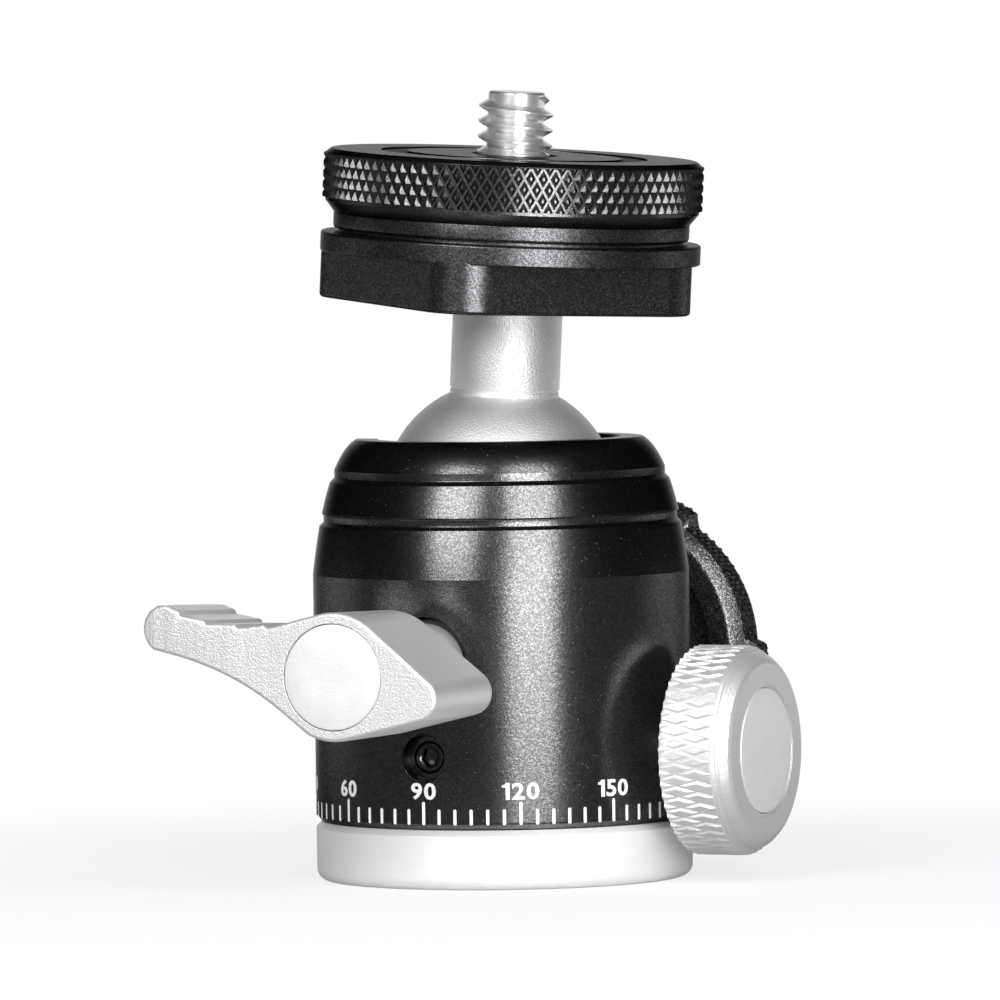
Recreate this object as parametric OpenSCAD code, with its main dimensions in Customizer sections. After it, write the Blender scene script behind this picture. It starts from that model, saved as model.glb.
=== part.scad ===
// Compact tripod ball head: a panning base, a barrel housing, a ball with a
// drop notch, a lock lever, two knobs and a camera platform with a lock disc.
// Origin: centre of the base's underside. +Z is up. The lock lever points along
// -Y, the pan knob along +X, the drag knob along +Y, the drop notch towards -X.

/* [Base and pan bearing] */
// Outer radius of the base and of the housing's barrel
barrel_r = 15.55; // [15.2:0.05:16.5]
// Height of the turning base
base_h = 4.9; // [4.5:0.1:6.5]
// Rounding of the base's lower edge
base_round = 1.0; // [0.4:0.1:1.6]
// Chamfer on each side of the pan seam
seam_chamfer = 0.48; // [0.2:0.04:0.8]
// Radius of the post that the housing turns on
post_r = 8.0; // [7.4:0.1:8.6]
// Bore radius of the 3/8-16 tripod socket
socket_r = 3.97; // [3.8:0.01:4.2]
// Wall of the threaded socket insert
insert_wall = 1.6; // [1.2:0.1:2]
// Depth of the tripod socket
socket_depth = 10.4; // [9:0.1:11]
// Thickness of the pan washer
washer_t = 0.68; // [0.5:0.02:1.2]
// Width of the base's rim outside the pan washer
washer_rim = 2.6; // [2.2:0.05:3.5]
// Thickness of the retaining clip on the post
clip_t = 0.6; // [0.4:0.05:0.9]

/* [Housing] */
// Radius of the housing's inner bore
bore_r = 11.32; // [11.3:0.02:11.8]
// Height of the pan lock's axis above the base
pan_axis_rise = 5.9; // [5.6:0.1:7]
// Height of the lever's axis above the pan lock's axis
lever_axis_rise = 7.55; // [7.4:0.05:9]
// How far the drag knob's axis lies below the lever's axis
drag_drop = 0.6; // [0.5:0.05:0.7]
// Height over which the barrel draws in to its rim
crown_h = 11.1; // [10:0.1:12]
// How far the rim is drawn in from the barrel
crown_in = 3.7; // [3.2:0.1:4]
// Height of the rim above the ball's centre
rim_rise = 5.1; // [4.9:0.05:5.5]
// Thickness of the lip over the seat ring
lip_t = 1.1; // [0.8:0.05:1.4]
// Half width of the drop notch
notch_half = 4.8; // [4.75:0.05:5.2]
// Radius of the counterbores behind the lever and the drag knob
port_r = 3.95; // [3.8:0.05:4.5]
// Depth of those counterbores
port_depth = 2.5; // [2:0.1:3]
// Thread radius of the hex set screw
grub_r = 1.3; // [1:0.05:1.6]

/* [Ball and head] */
// Radius of the ball
ball_r = 9.75; // [9.65:0.05:9.8]
// Radius of the stem
stem_r = 4.53; // [4.2:0.05:4.6]
// Distance from the ball's centre to the platform
stem_reach = 15.95; // [15.9:0.05:18]
// Tilt of the head at rest, towards the pan knob
head_lean = 3.75; // [0:0.25:8]
// Direction of that tilt, turned from the pan knob's
head_dir = -7; // [-15:0.5:15]
// Turn of the platform about the stem at rest, from the pan knob's direction
head_yaw = -35.5; // [-90:0.5:90]
// How far the block's corners reach past the platform's ring
block_proud = 0.04; // [0:0.01:0.2]
// Corner radius of that block
block_round = 4.0; // [2:0.1:6]
// Height of the block
block_h = 4.05; // [3.5:0.05:6]
// Offset of the block from the stem's axis
block_off = -0.33; // [-0.4:0.01:0.4]
// Radius of the platform's ring and of the lock disc
disc_r = 15.7; // [15.2:0.05:18]
// Height of the platform's ring
ring_h = 1.65; // [1.2:0.05:3]
// Height of the neck between ring and lock disc
neck_h = 1.6; // [1:0.05:2.5]
// How far the neck is set in from the ring
neck_in = 1.0; // [0.5:0.1:2]
// Height of the lock disc
disc_h = 5.25; // [4:0.05:6]
// Crest radius of the 1/4-20 camera screw
screw_r = 3.1; // [3:0.01:3.17]
// Length of camera screw that stands out of the lock disc
screw_out = 5.2; // [4.5:0.1:7]
// Thread pitch of the camera screw
screw_pitch = 1.27; // [1:0.01:1.5]

/* [Lock lever] */
// Radius of the lever's hub
lever_hub_r = 5.2; // [5:0.1:6]
// Reach of the arm from the hub's axis to its end circle
lever_reach = 15.1; // [13:0.1:17]
// Depth of the lever along its axis
lever_t = 10.8; // [9:0.1:12]
// Gap between the lever's back and the barrel
lever_gap = 5.95; // [4:0.05:7]
// Radius of the round cap on the hub
lever_cap_r = 4.25; // [4:0.05:4.5]
// Radius of the lock shaft in its bushing
shaft_r = 2.0; // [1.9:0.05:2.3]
// Radius of the eccentric that lifts the cup
cam_r = 1.6; // [1.4:0.05:1.7]
// Eccentricity of the cam, which is the cup's lift per radian
cam_throw = 0.1; // [0.06:0.01:0.12]

/* [Knobs] */
// Radius of the pan knob over its knurl
pan_knob_r = 8.6; // [7.5:0.1:9.5]
// Thickness of the pan knob
pan_knob_t = 6.0; // [5:0.1:7]
// Gap between the pan knob and the barrel
pan_knob_gap = 2.2; // [1.5:0.05:3]
// Radius of the drag knob over its lands
drag_knob_r = 13.5; // [12:0.1:14]
// Thickness of the drag knob
drag_knob_t = 4.8; // [4.6:0.1:6]
// Gap between the drag knob and the barrel
drag_knob_gap = 5.4; // [3:0.05:6]
// Number of raised lands round the drag knob
drag_lands = 5; // [4:1:8]
// Height of those lands
land_rise = 1.1; // [0.4:0.05:1.2]
// Thread radius of the lock screws
stud_r = 1.97; // [1.8:0.01:2.1]

/* [Hidden] */
$fn = 96;
eps = 0.01;
over = 1;             // how far a cutter runs past a face
reach = 30;           // length of a cutter that runs right through

// fits
seat_fit = 0.02;      // pieces that stay together
run_fit = 0.05;       // shafts and posts that turn
slide_fit = 0.08;     // ball, liner and cup
pan_gap = 0.08;       // open seam between base and housing
face_gap = 0.1;       // end play between faces

// base and pan bearing
insert_r = socket_r + insert_wall;
insert_sink = 0.1;
washer_sink = washer_t - pan_gap;
washer_in_r = post_r + 1.05;
washer_out_r = barrel_r - washer_rim;
housing_z = base_h + pan_gap;
pan_z = base_h + pan_axis_rise;
pad_r = 1.6;
pad_groove_r = post_r - 0.7;
pad_groove_half = pad_r + 0.2;
collar_top = pan_z + 2.7;
clip_z = collar_top + face_gap;
clip_groove_r = post_r - 0.6;
clip_r = post_r + 1.3;
post_top = clip_z + clip_t + 0.4;
collar_r = bore_r - seat_fit;

// the stack from the lever's axis up to the ball
lever_z = pan_z + lever_axis_rise;
drag_z = lever_z - drag_drop;
cup_clear = 0.12;
cup_floor = 0.67;
liner_t = 0.55;
cup_z = lever_z + cam_r + cam_throw + cup_clear;
liner_in_r = ball_r + slide_fit;
liner_r = liner_in_r + liner_t;
cup_in_r = liner_r + slide_fit;
ball_z = cup_z + cup_floor + cup_in_r;
cup_r = bore_r - slide_fit;
cup_top = ball_z - 6.1;
cup_chamfer = 2.2;
liner_edge_angle = 40;

// housing
rim_z = ball_z + rim_rise;
rim_r = barrel_r - crown_in;
crown_z = rim_z - crown_h;
mouth_r = ball_r;
lip_z = rim_z - lip_t;
seat_in_r = ball_r + slide_fit;
seat_z = ball_z + 0.4;
seat_top = lip_z - 0.05;
port_face = barrel_r - port_depth;
bush_hole_r = 3.0;
bush_flange_r = port_r - 0.2;
bush_flange_t = 1.05;
boss_r = 3.4;
boss_end = port_face + bush_flange_t + 0.3;
grub_hole_r = grub_r + run_fit;
grub_port_r = grub_r + 0.6;
grub_port_depth = 1.25;
grub_face = barrel_r - grub_port_depth;

// head, measured along the stem from the ball's centre
block_w = sqrt(2) * (disc_r + block_proud - block_round) + 2 * block_round;
ring_s = stem_reach + block_h;
neck_s = ring_s + ring_h;
spigot_r = 3.9;
spigot_h = 2.6;
disc_washer_t = 0.3;
washer_groove_in = spigot_r + 1.1;
washer_groove_out = disc_r - neck_in - 1;
disc_s = neck_s + neck_h;
disc_top = disc_s + disc_h;
disc_bottom_chamfer = 1.3;
disc_top_round = 0.6;
neck_r = disc_r - neck_in;
shank_r = screw_r - 0.2;
shank_deep = 5.0;
disc_bore_r = screw_r + run_fit;
disc_pad_w = 2.1;
disc_pad_rim = 4.7;
pad_out_r = disc_r - disc_pad_rim;
pad_in_r = pad_out_r - disc_pad_w;
disc_pad_sink = 0.15;
disc_pad_t = 0.9;
thread_flat = screw_pitch / 8;
thread_depth = 0.6 * screw_pitch;
tip_chamfer = 0.75;

// lever, seen along its axis with the arm to the left
lever_back = barrel_r + lever_gap;
lever_front = lever_back + lever_t;
lever_end_r = 1.97;
lever_end_rise = 3.7;
arm_draft = 2.4;
lever_nose = [7.3, -1.7];
lever_nose_r = 1.85;
cap_t = 1.2;
cap_groove = 0.18;
lever_shaft_end = lever_front - cap_t - 5;
cam_out = port_face - bush_flange_t - 1.0;
shaft_tail = bore_r - 6.12;
journal_r = 0.8;
journal_tip = bore_r - 2.52;

// screws that clamp the lever and the drag knob on their shafts
clamp_r = 1.1;
clamp_bite = 3.0;
clamp_head_r = 2.75;
clamp_head_h = 2.5;
clamp_pocket = cap_t + clamp_head_h + face_gap;
clamp_hex_r = 1.4;
clamp_hex_floor = 1;

// pan lock
pad_x = pad_groove_r + 0.12;
pan_stud_x = bore_r + 0.68;
pan_face = barrel_r + pan_knob_gap;
pan_front = pan_face + pan_knob_t;
pan_knurl_end = pan_face + 0.76 * pan_knob_t;
pan_cap_r = 0.595 * pan_knob_r;
pan_cap_groove = 0.06;
pan_flat_r = pan_knob_r - 1.5;

// drag lock
plunger_back = bore_r - 0.12;
plunger_y = plunger_back - 5.2;
plunger_nose_r = 2.2;
plunger_r = 2.9;
plunger_cone_y = plunger_back - 2.05;
drag_face = barrel_r + drag_knob_gap;
drag_back = drag_face + drag_knob_t;
drag_stud_end = drag_back - cap_t - 4.2;
drag_rim_r = drag_knob_r - land_rise;
drag_recess_r = 9.4;
drag_recess = 2.4;
drag_hub_r = 4.2;
drag_cap_r = 6.4;
land_half_angle = 7.5;
land_phase = 6.3;

// Points of an arc about [x, y] from angle a to angle b
function arc(x, y, r, a, b, n = 8) = [for (i = [0:n]) let (t = a + (b - a) * i / n)
    [x + r * cos(t), y + r * sin(t)]];

// Points of a cubic curve through its end points p and s
function curve(p, q, r, s, n = 12) = [for (i = [0:n]) let (t = i / n, u = 1 - t)
    u * u * u * p + 3 * u * u * t * q + 3 * u * t * t * r + t * t * t * s];

// Places what is drawn about +Z on an axis through the barrel: the lever's,
// the drag knob's or the pan knob's
module along_lever() { translate([0, 0, lever_z]) rotate([90, 0, 0]) children(); }
module along_drag() { translate([0, 0, drag_z]) rotate([-90, 0, 0]) children(); }
module along_pan() { translate([0, 0, pan_z]) rotate([0, 90, 0]) children(); }

// Places what is drawn about the stem, measured from the ball's centre
module on_stem() {
    translate([0, 0, ball_z]) rotate(head_dir) rotate([0, head_lean, 0]) rotate(head_yaw - head_dir)
        children();
}

// A ring about +Z
module ring(outer, inner, h) {
    difference() {
        cylinder(r = outer, h = h);
        translate([0, 0, -over]) cylinder(r = inner, h = h + 2 * over);
    }
}

// Two circles and straight flanks that blend into both, a hair inside the tangent
module link(p, r, q, s) {
    hair = 0.004;
    d = q - p;
    gap = norm(d);
    along = atan2(d.y, d.x);
    lean = acos((r - s) / gap);
    up = [cos(along + lean), sin(along + lean)];
    low = [cos(along - lean), sin(along - lean)];
    translate(p) circle(r);
    translate(q) circle(s);
    polygon([p + (r - hair) * up, p + (r - hair) * low, q + (s - hair) * low, q + (s - hair) * up]);
}

module rounded_square(w, r) {
    hair = 0.004;
    square([w - 2 * hair, w - 2 * r], center = true);
    square([w - 2 * r, w - 2 * hair], center = true);
    for (x = [-1, 1], y = [-1, 1]) translate([x, y] * (w / 2 - r)) circle(r);
}

// The U-shaped drop notch, open at the top and outwards, opposite to the tilt
module drop_notch(inner) {
    rotate(head_dir) translate([-barrel_r - over, 0, 0]) {
        translate([0, 0, ball_z]) rotate([0, 90, 0])
            cylinder(r = notch_half, h = barrel_r + over - inner);
        translate([0, -notch_half, ball_z])
            cube([barrel_r + over - inner, 2 * notch_half, rim_rise + over]);
    }
}

module base() {
    color("silver") rotate_extrude() polygon(concat(
        [[insert_r + seat_fit, 0]],
        arc(barrel_r - base_round, base_round, base_round, -90, 0),
        [[barrel_r, base_h - seam_chamfer], [barrel_r - seam_chamfer, base_h],
            [washer_out_r, base_h], [washer_out_r, base_h - washer_sink],
            [washer_in_r, base_h - washer_sink], [washer_in_r, base_h], [post_r, base_h],
            [post_r, pan_z - pad_groove_half], [pad_groove_r, pan_z - pad_groove_half],
            [pad_groove_r, pan_z + pad_groove_half], [post_r, pan_z + pad_groove_half],
            [post_r, clip_z - 0.03], [clip_groove_r, clip_z - 0.03],
            [clip_groove_r, clip_z + clip_t + 0.03], [post_r, clip_z + clip_t + 0.03],
            [post_r, post_top - 0.2], [post_r - 0.2, post_top], [0, post_top],
            [0, insert_sink + socket_depth], [insert_r + seat_fit, insert_sink + socket_depth]]));
}

module thread_insert() {
    mouth = 0.3;
    color("gainsboro") rotate_extrude() polygon([
        [socket_r + mouth, insert_sink], [insert_r, insert_sink],
        [insert_r, insert_sink + socket_depth], [socket_r, insert_sink + socket_depth],
        [socket_r, insert_sink + mouth]]);
}

module pan_washer() {
    color("dimgray") translate([0, 0, base_h - washer_sink])
        ring(washer_out_r - run_fit, washer_in_r + run_fit, washer_t);
}

// External retaining ring with two eyes beside its gap
module pan_clip() {
    inner = clip_groove_r + seat_fit;
    gap_angle = 26;
    eye_r = 0.95;
    eye_hole_r = 0.4;
    eye_at = clip_r + 0.1;
    color("lightslategray") translate([0, 0, clip_z]) difference() {
        union() {
            ring(clip_r, inner, clip_t);
            for (a = [-gap_angle, gap_angle]) rotate(a)
                translate([eye_at, 0, 0]) cylinder(r = eye_r, h = clip_t);
        }
        for (a = [-gap_angle, gap_angle]) rotate(a)
            translate([eye_at, 0, -over]) cylinder(r = eye_hole_r, h = clip_t + 2 * over);
        translate([0, 0, -over]) linear_extrude(clip_t + 2 * over)
            polygon([[0, 0], reach * [cos(gap_angle - 7), sin(gap_angle - 7)],
                reach * [cos(gap_angle - 7), -sin(gap_angle - 7)]]);
        translate([0, 0, -over]) cylinder(r = inner, h = clip_t + 2 * over);
    }
}

module housing() {
    rim_chamfer = 0.35;
    crown = curve([barrel_r, crown_z], [barrel_r, crown_z + 0.11 * crown_h],
        [barrel_r - 0.28 * crown_in, crown_z + 0.865 * crown_h], [rim_r, rim_z]);
    outline = concat(
        [[bore_r, housing_z], [barrel_r - seam_chamfer, housing_z],
            [barrel_r, housing_z + seam_chamfer]],
        crown,
        [[mouth_r + rim_chamfer, rim_z], [mouth_r, rim_z - rim_chamfer],
            [mouth_r, lip_z], [bore_r, lip_z]]);
    color("#1b1b1d") difference() {
        rotate_extrude() polygon(outline);
        ledge(rim_r + 1.82, rim_z - 3.7, rim_z - 2.5);
        ledge(rim_r + 2.76, rim_z - 7.35, rim_z - 6.2);
        drop_notch(mouth_r - 1);
        along_lever() port();
        along_drag() port();
        along_pan() cylinder(r = stud_r + run_fit, h = barrel_r + over);
        translate([0, 0, pan_z]) rotate([90, 0, 0]) {
            cylinder(r = grub_hole_r, h = barrel_r + over);
            translate([0, 0, grub_face]) cylinder(r = grub_port_r, h = grub_port_depth + over);
        }
    }
}

// A turned ledge: straight at its root, with a sloping lower flank
module ledge(root_r, low, high) {
    slope = 0.55;
    rotate_extrude() polygon([[root_r, low + slope], [root_r + 2, low - 1.6 * slope],
        [root_r + 2, high], [root_r, high]]);
}

// Shaft hole with a chamfered counterbore
module port() {
    edge = 0.25;
    cylinder(r = bush_hole_r + seat_fit, h = barrel_r + over);
    translate([0, 0, port_face]) cylinder(r = port_r, h = port_depth + over);
    translate([0, 0, barrel_r - edge]) cylinder(r1 = port_r, r2 = port_r + 2 * edge, h = 2 * edge);
}

// Bearing collar that closes the housing below
module pan_collar() {
    spanner_r = 0.8;
    spanner_deep = 2;
    color("darkkhaki") difference() {
        translate([0, 0, housing_z]) ring(collar_r, post_r + run_fit, collar_top - housing_z);
        along_pan() cylinder(r = pad_r + run_fit, h = reach);
        for (a = [45, 225]) rotate(a) translate([(post_r + collar_r) / 2, 0, housing_z - over])
            cylinder(r = spanner_r, h = spanner_deep + over);
    }
}

module seat_ring() {
    color("#2a2a2c") difference() {
        translate([0, 0, seat_z]) cylinder(r = bore_r - seat_fit, h = seat_top - seat_z);
        translate([0, 0, ball_z]) sphere(r = seat_in_r);
        drop_notch(mouth_r - 4);
    }
}

module set_screw() {
    grub_end = collar_r + 0.05;
    color("#151515") translate([0, 0, pan_z]) rotate([90, 0, 0]) difference() {
        translate([0, 0, grub_end]) cylinder(r = grub_r, h = grub_face - grub_end);
        translate([0, 0, grub_face - grub_r]) cylinder(r = 0.62 * grub_r, h = grub_r + over, $fn = 6);
    }
}

// Flanged bush in a port, bored for a shaft
module bushing(hole_r) {
    sleeve_in = bore_r + 0.65;
    difference() {
        union() {
            translate([0, 0, sleeve_in]) cylinder(r = bush_hole_r, h = port_face - sleeve_in + eps);
            translate([0, 0, port_face]) cylinder(r = bush_flange_r, h = bush_flange_t);
        }
        cylinder(r = hole_r, h = reach);
    }
}

module lever_bushing() { color("#202022") along_lever() bushing(shaft_r + run_fit); }
module drag_bushing() { color("#202022") along_drag() bushing(stud_r + run_fit); }

module pan_lock_pad() {
    color("goldenrod") along_pan() translate([0, 0, pad_x]) cylinder(r = pad_r, h = pan_stud_x - pad_x);
}

module pan_lock_screw() {
    color("lightgray") along_pan() {
        translate([0, 0, pan_stud_x])
            cylinder(r = stud_r, h = pan_front - cap_t - 2 * face_gap - pan_stud_x);
    }
}

module pan_knob() {
    step = 0.25;
    color("whitesmoke") along_pan() difference() {
        rotate_extrude() polygon([
            [0, pan_face], [pan_knob_r - step, pan_face], [pan_knob_r, pan_face + step],
            [pan_knob_r, pan_knurl_end], [pan_knob_r - 0.3, pan_knurl_end + 0.15],
            [pan_knob_r - 0.6, pan_front - 0.75], [pan_flat_r + 0.3, pan_front - 0.2],
            [pan_flat_r, pan_front], [0, pan_front]]);
        translate([0, 0, pan_front - cap_t])
            cylinder(r = pan_cap_r + pan_cap_groove, h = cap_t + over);
        translate([0, 0, pan_face - over])
            cylinder(r = stud_r + seat_fit, h = pan_knob_t - cap_t + 2 * over);
    }
}

module pan_knob_cap() {
    color("whitesmoke") along_pan() translate([0, 0, pan_front - cap_t]) inset_cap(pan_cap_r);
}

// Round cap let into a knob's face
module inset_cap(r) {
    edge = 0.15;
    rotate_extrude() polygon([[0, 0], [r, 0], [r, cap_t - edge], [r - edge, cap_t], [0, cap_t]]);
}

// Lock shaft: journal in the bushing, eccentric under the cup, tail journal in the plunger
module lever_shaft() {
    color("silver") along_lever() {
        translate([0, 0, cam_out]) stud(shaft_r, lever_shaft_end - cam_out);
        translate([cam_throw, 0, -shaft_tail]) cylinder(r = cam_r, h = cam_out + shaft_tail);
        translate([0, 0, -journal_tip]) cylinder(r = journal_r, h = journal_tip - shaft_tail + eps);
    }
}

// Shaft end about +Z, tapped at its far end for the clamping screw
module stud(r, length) {
    difference() {
        cylinder(r = r, h = length);
        translate([0, 0, length - clamp_bite - face_gap])
            cylinder(r = clamp_r + seat_fit, h = clamp_bite + over);
    }
}

// Outline of the lever: hub, nose and arm
module lever_outline() {
    end = [-lever_reach, lever_end_rise];
    link([0, 0], lever_hub_r, lever_nose, lever_nose_r);
    translate(end) circle(lever_end_r);
    polygon(concat(
        [end + [0, lever_end_r], [-8.5, 5.1], [-2.6, 4.9], [0, 4.5], [-2.2, -4.7]],
        curve([-2.4, -4.6], [-5.2, -2.5], [-8.3, 0.55], end + lever_end_r * [cos(240), sin(240)], 8)));
}

// What is cut away above the arm to leave its grip steps
module grip_cut() {
    translate([0, 0, lever_front]) rotate([-arm_draft, 0, 0]) translate([0, 0, -lever_t - 2])
        linear_extrude(lever_t + 4) polygon([
            [-18, 5.68], [-14.8, 5.62], [-13.85, 5.25], [-13.65, 4.9], [-11.5, 4.5], [-11.3, 4.2],
            [-8.75, 4.2], [-8.55, 3.95], [-6.1, 4.15], [-5.9, 3.95], [-4.6, 4.2], [-3, 4.6],
            [-2.4, 9], [-18, 9]]);
}

module lever() {
    color("whitesmoke") along_lever() difference() {
        union() {
            translate([0, 0, lever_back]) linear_extrude(lever_t) lever_outline();
            translate([0, 0, boss_end]) cylinder(r = boss_r, h = lever_back - boss_end + eps);
        }
        grip_cut();
        translate([0, 0, lever_front - cap_t])
            cylinder(r = lever_cap_r + cap_groove, h = cap_t + over);
        hub_bore(shaft_r, lever_shaft_end, lever_front);
    }
}

// Bore of a lever or knob: shaft from below, clamping screw from above
module hub_bore(r, shaft_end, front) {
    cylinder(r = r + seat_fit, h = shaft_end + seat_fit);
    cylinder(r = clamp_r + 0.15, h = front);
    translate([0, 0, front - clamp_pocket]) cylinder(r = clamp_head_r + face_gap, h = clamp_pocket);
}

// Socket head screw through a hub into its shaft
module clamp_screw(shaft_end, front) {
    head = front - clamp_pocket + 0.05;
    difference() {
        translate([0, 0, head]) cylinder(r = clamp_head_r, h = clamp_head_h);
        translate([0, 0, head + clamp_hex_floor])
            cylinder(r = clamp_hex_r, h = clamp_head_h, $fn = 6);
    }
    translate([0, 0, shaft_end - clamp_bite]) cylinder(r = clamp_r, h = head - shaft_end + clamp_bite + eps);
}

module lever_screw() {
    color("dimgray") along_lever() clamp_screw(lever_shaft_end, lever_front);
}

module lever_cap() {
    color("whitesmoke") along_lever() translate([0, 0, lever_front - cap_t]) inset_cap(lever_cap_r);
}

// Cup that the cam and the plunger press up against the liner and the ball
module pressure_cup() {
    color("burlywood") difference() {
        rotate_extrude() polygon([[0, cup_z], [cup_r - cup_chamfer, cup_z],
            [cup_r, cup_z + cup_chamfer], [cup_r, cup_top], [0, cup_top]]);
        translate([0, 0, ball_z]) sphere(r = cup_in_r);
    }
}

// Wedge that bears on the cup, bored off its centre for the lock shaft's journal
module drag_plunger() {
    color("goldenrod") along_drag() difference() {
        rotate_extrude() polygon([
            [0, plunger_y], [plunger_nose_r, plunger_y], [plunger_nose_r, plunger_cone_y],
            [plunger_r, plunger_cone_y + plunger_r - plunger_nose_r], [plunger_r, plunger_back],
            [0, plunger_back]]);
        translate([0, -drag_drop, plunger_y - over])
            cylinder(r = journal_r + run_fit, h = journal_tip + journal_r - plunger_y + over);
    }
}

module drag_screw() {
    color("lightgray") along_drag() translate([0, 0, plunger_back])
        stud(stud_r, drag_stud_end - plunger_back);
}

// Outline of the drag knob: a round rim with raised lands
module land_outline() {
    circle(drag_rim_r);
    intersection() {
        circle(drag_knob_r);
        for (i = [0:drag_lands - 1]) rotate(land_phase + i * 360 / drag_lands)
            polygon([[0, 0],
                (drag_rim_r - 0.05) * [cos(land_half_angle + 4), -sin(land_half_angle + 4)],
                2 * drag_knob_r * [cos(land_half_angle), -sin(land_half_angle)],
                2 * drag_knob_r * [cos(land_half_angle), sin(land_half_angle)],
                (drag_rim_r - 0.05) * [cos(land_half_angle + 4), sin(land_half_angle + 4)]]);
    }
}

module drag_knob() {
    edge = 0.65;
    color("#161617") along_drag() difference() {
        union() {
            intersection() {
                translate([0, 0, drag_face]) linear_extrude(drag_knob_t) land_outline();
                rotate_extrude() polygon([
                    [0, drag_face], [drag_rim_r - edge, drag_face], [drag_rim_r - 0.2, drag_face + 0.55],
                    [drag_knob_r + eps, drag_face + edge + land_rise],
                    [drag_knob_r + eps, drag_back - edge - land_rise],
                    [drag_rim_r - edge, drag_back], [0, drag_back]]);
            }
            translate([0, 0, boss_end]) cylinder(r = boss_r, h = drag_face - boss_end + eps);
        }
        translate([0, 0, drag_face - over]) ring(drag_recess_r, drag_hub_r, drag_recess + over);
        translate([0, 0, drag_back - cap_t])
            cylinder(r = drag_cap_r + cap_groove, h = cap_t + over);
        hub_bore(stud_r, drag_stud_end, drag_back);
    }
}

module drag_knob_screw() {
    color("dimgray") along_drag() clamp_screw(drag_stud_end, drag_back);
}

module drag_knob_cap() {
    color("#161617") along_drag() translate([0, 0, drag_back - cap_t]) inset_cap(drag_cap_r);
}

// Thin dish that lines the cup
module ball_liner() {
    edge = liner_r * cos(liner_edge_angle);
    color("#d8d4c8") translate([0, 0, ball_z]) difference() {
        intersection() {
            sphere(r = liner_r);
            translate([0, 0, -liner_r - over])
                cylinder(r = liner_r + over, h = liner_r + over - edge);
        }
        sphere(r = liner_in_r);
    }
}

module ball_stem() {
    seam_at = sqrt(ball_r * ball_r - stem_r * stem_r);
    color("silver") on_stem() difference() {
        union() {
            sphere(r = ball_r);
            cylinder(r = stem_r, h = stem_reach);
            translate([0, 0, stem_reach - eps]) cylinder(r = spigot_r, h = spigot_h + eps);
        }
        translate([0, 0, seam_at + 0.35]) ring(stem_r + over, stem_r - 0.12, 0.25);
        translate([0, 0, stem_reach - shank_deep]) cylinder(r = shank_r + run_fit, h = reach);
    }
}

module platform() {
    edge = 0.2;
    color("#1b1b1d") on_stem() difference() {
        union() {
            translate([0, 0, stem_reach]) linear_extrude(block_h + eps)
                translate(block_off * [0.5, 0.87]) rounded_square(block_w, block_round);
            translate([0, 0, ring_s]) rotate_extrude() polygon([
                [0, 0], [disc_r - edge, 0], [disc_r, edge], [disc_r, ring_h - edge],
                [disc_r - edge, ring_h], [neck_r - 0.45, ring_h], [neck_r - 0.45, ring_h + 0.3],
                [neck_r - 0.15, ring_h + 0.3], [neck_r, ring_h + 0.45], [neck_r, ring_h + neck_h],
                [0, ring_h + neck_h]]);
        }
        translate([0, 0, stem_reach - over])
            cylinder(r = spigot_r + run_fit, h = spigot_h + over + face_gap);
        translate([0, 0, stem_reach]) cylinder(r = shank_r + seat_fit, h = reach);
        translate([0, 0, disc_s - disc_washer_t])
            ring(washer_groove_out, washer_groove_in, disc_washer_t + over);
    }
}

// Camera screw: plain shank below, turned thread ridges above the lock disc
module camera_screw() {
    bottom = stem_reach - shank_deep + 0.3;
    tip = disc_top + screw_out;
    root_r = screw_r - thread_depth;
    turns = floor((screw_out - tip_chamfer - thread_flat) / screw_pitch);
    first = tip - tip_chamfer - turns * screw_pitch - thread_flat;
    ridges = [for (i = [0:turns]) let (s = first + i * screw_pitch, last = i == turns)
        each concat([[screw_r, s], [screw_r, s + thread_flat]],
            last ? [] : [[root_r, s + screw_pitch / 2], [root_r, s + screw_pitch / 2 + thread_flat]])];
    color("whitesmoke") on_stem() rotate_extrude() polygon(concat(
        [[0, bottom], [shank_r, bottom], [shank_r, disc_top - 0.1], [root_r, disc_top - 0.05],
            [root_r, first - 0.4]],
        ridges,
        [[screw_r - 0.9 * tip_chamfer, tip], [0, tip]]));
}

module disc_washer() {
    color("gray") on_stem() translate([0, 0, disc_s - disc_washer_t])
        ring(washer_groove_out - run_fit, washer_groove_in + run_fit, disc_washer_t);
}

module lock_disc() {
    color("#161617") on_stem() difference() {
        translate([0, 0, disc_s]) rotate_extrude() polygon(concat(
            [[0, 0], [neck_r, 0], [disc_r, disc_bottom_chamfer]],
            arc(disc_r - disc_top_round, disc_h - disc_top_round, disc_top_round, 0, 90, 5),
            [[0, disc_h]]));
        translate([0, 0, disc_s - over]) cylinder(r = disc_bore_r, h = disc_h + 2 * over);
        translate([0, 0, disc_top - 0.35]) cylinder(r1 = disc_bore_r, r2 = disc_bore_r + 0.45, h = 0.45);
        translate([0, 0, disc_top - disc_pad_t - disc_pad_sink])
            ring(pad_out_r, pad_in_r, disc_pad_t + over);
    }
}

module disc_pad() {
    color("#101010") on_stem() translate([0, 0, disc_top - disc_pad_t - disc_pad_sink])
        ring(pad_out_r - seat_fit, pad_in_r + seat_fit, disc_pad_t);
}

base();
thread_insert();
pan_washer();
pan_clip();
housing();
pan_collar();
seat_ring();
set_screw();
lever_bushing();
drag_bushing();
pan_lock_pad();
pan_lock_screw();
pan_knob();
pan_knob_cap();
lever_shaft();
lever();
lever_screw();
lever_cap();
pressure_cup();
drag_plunger();
drag_screw();
drag_knob();
drag_knob_screw();
drag_knob_cap();
ball_liner();
ball_stem();
platform();
camera_screw();
disc_washer();
lock_disc();
disc_pad();
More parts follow.
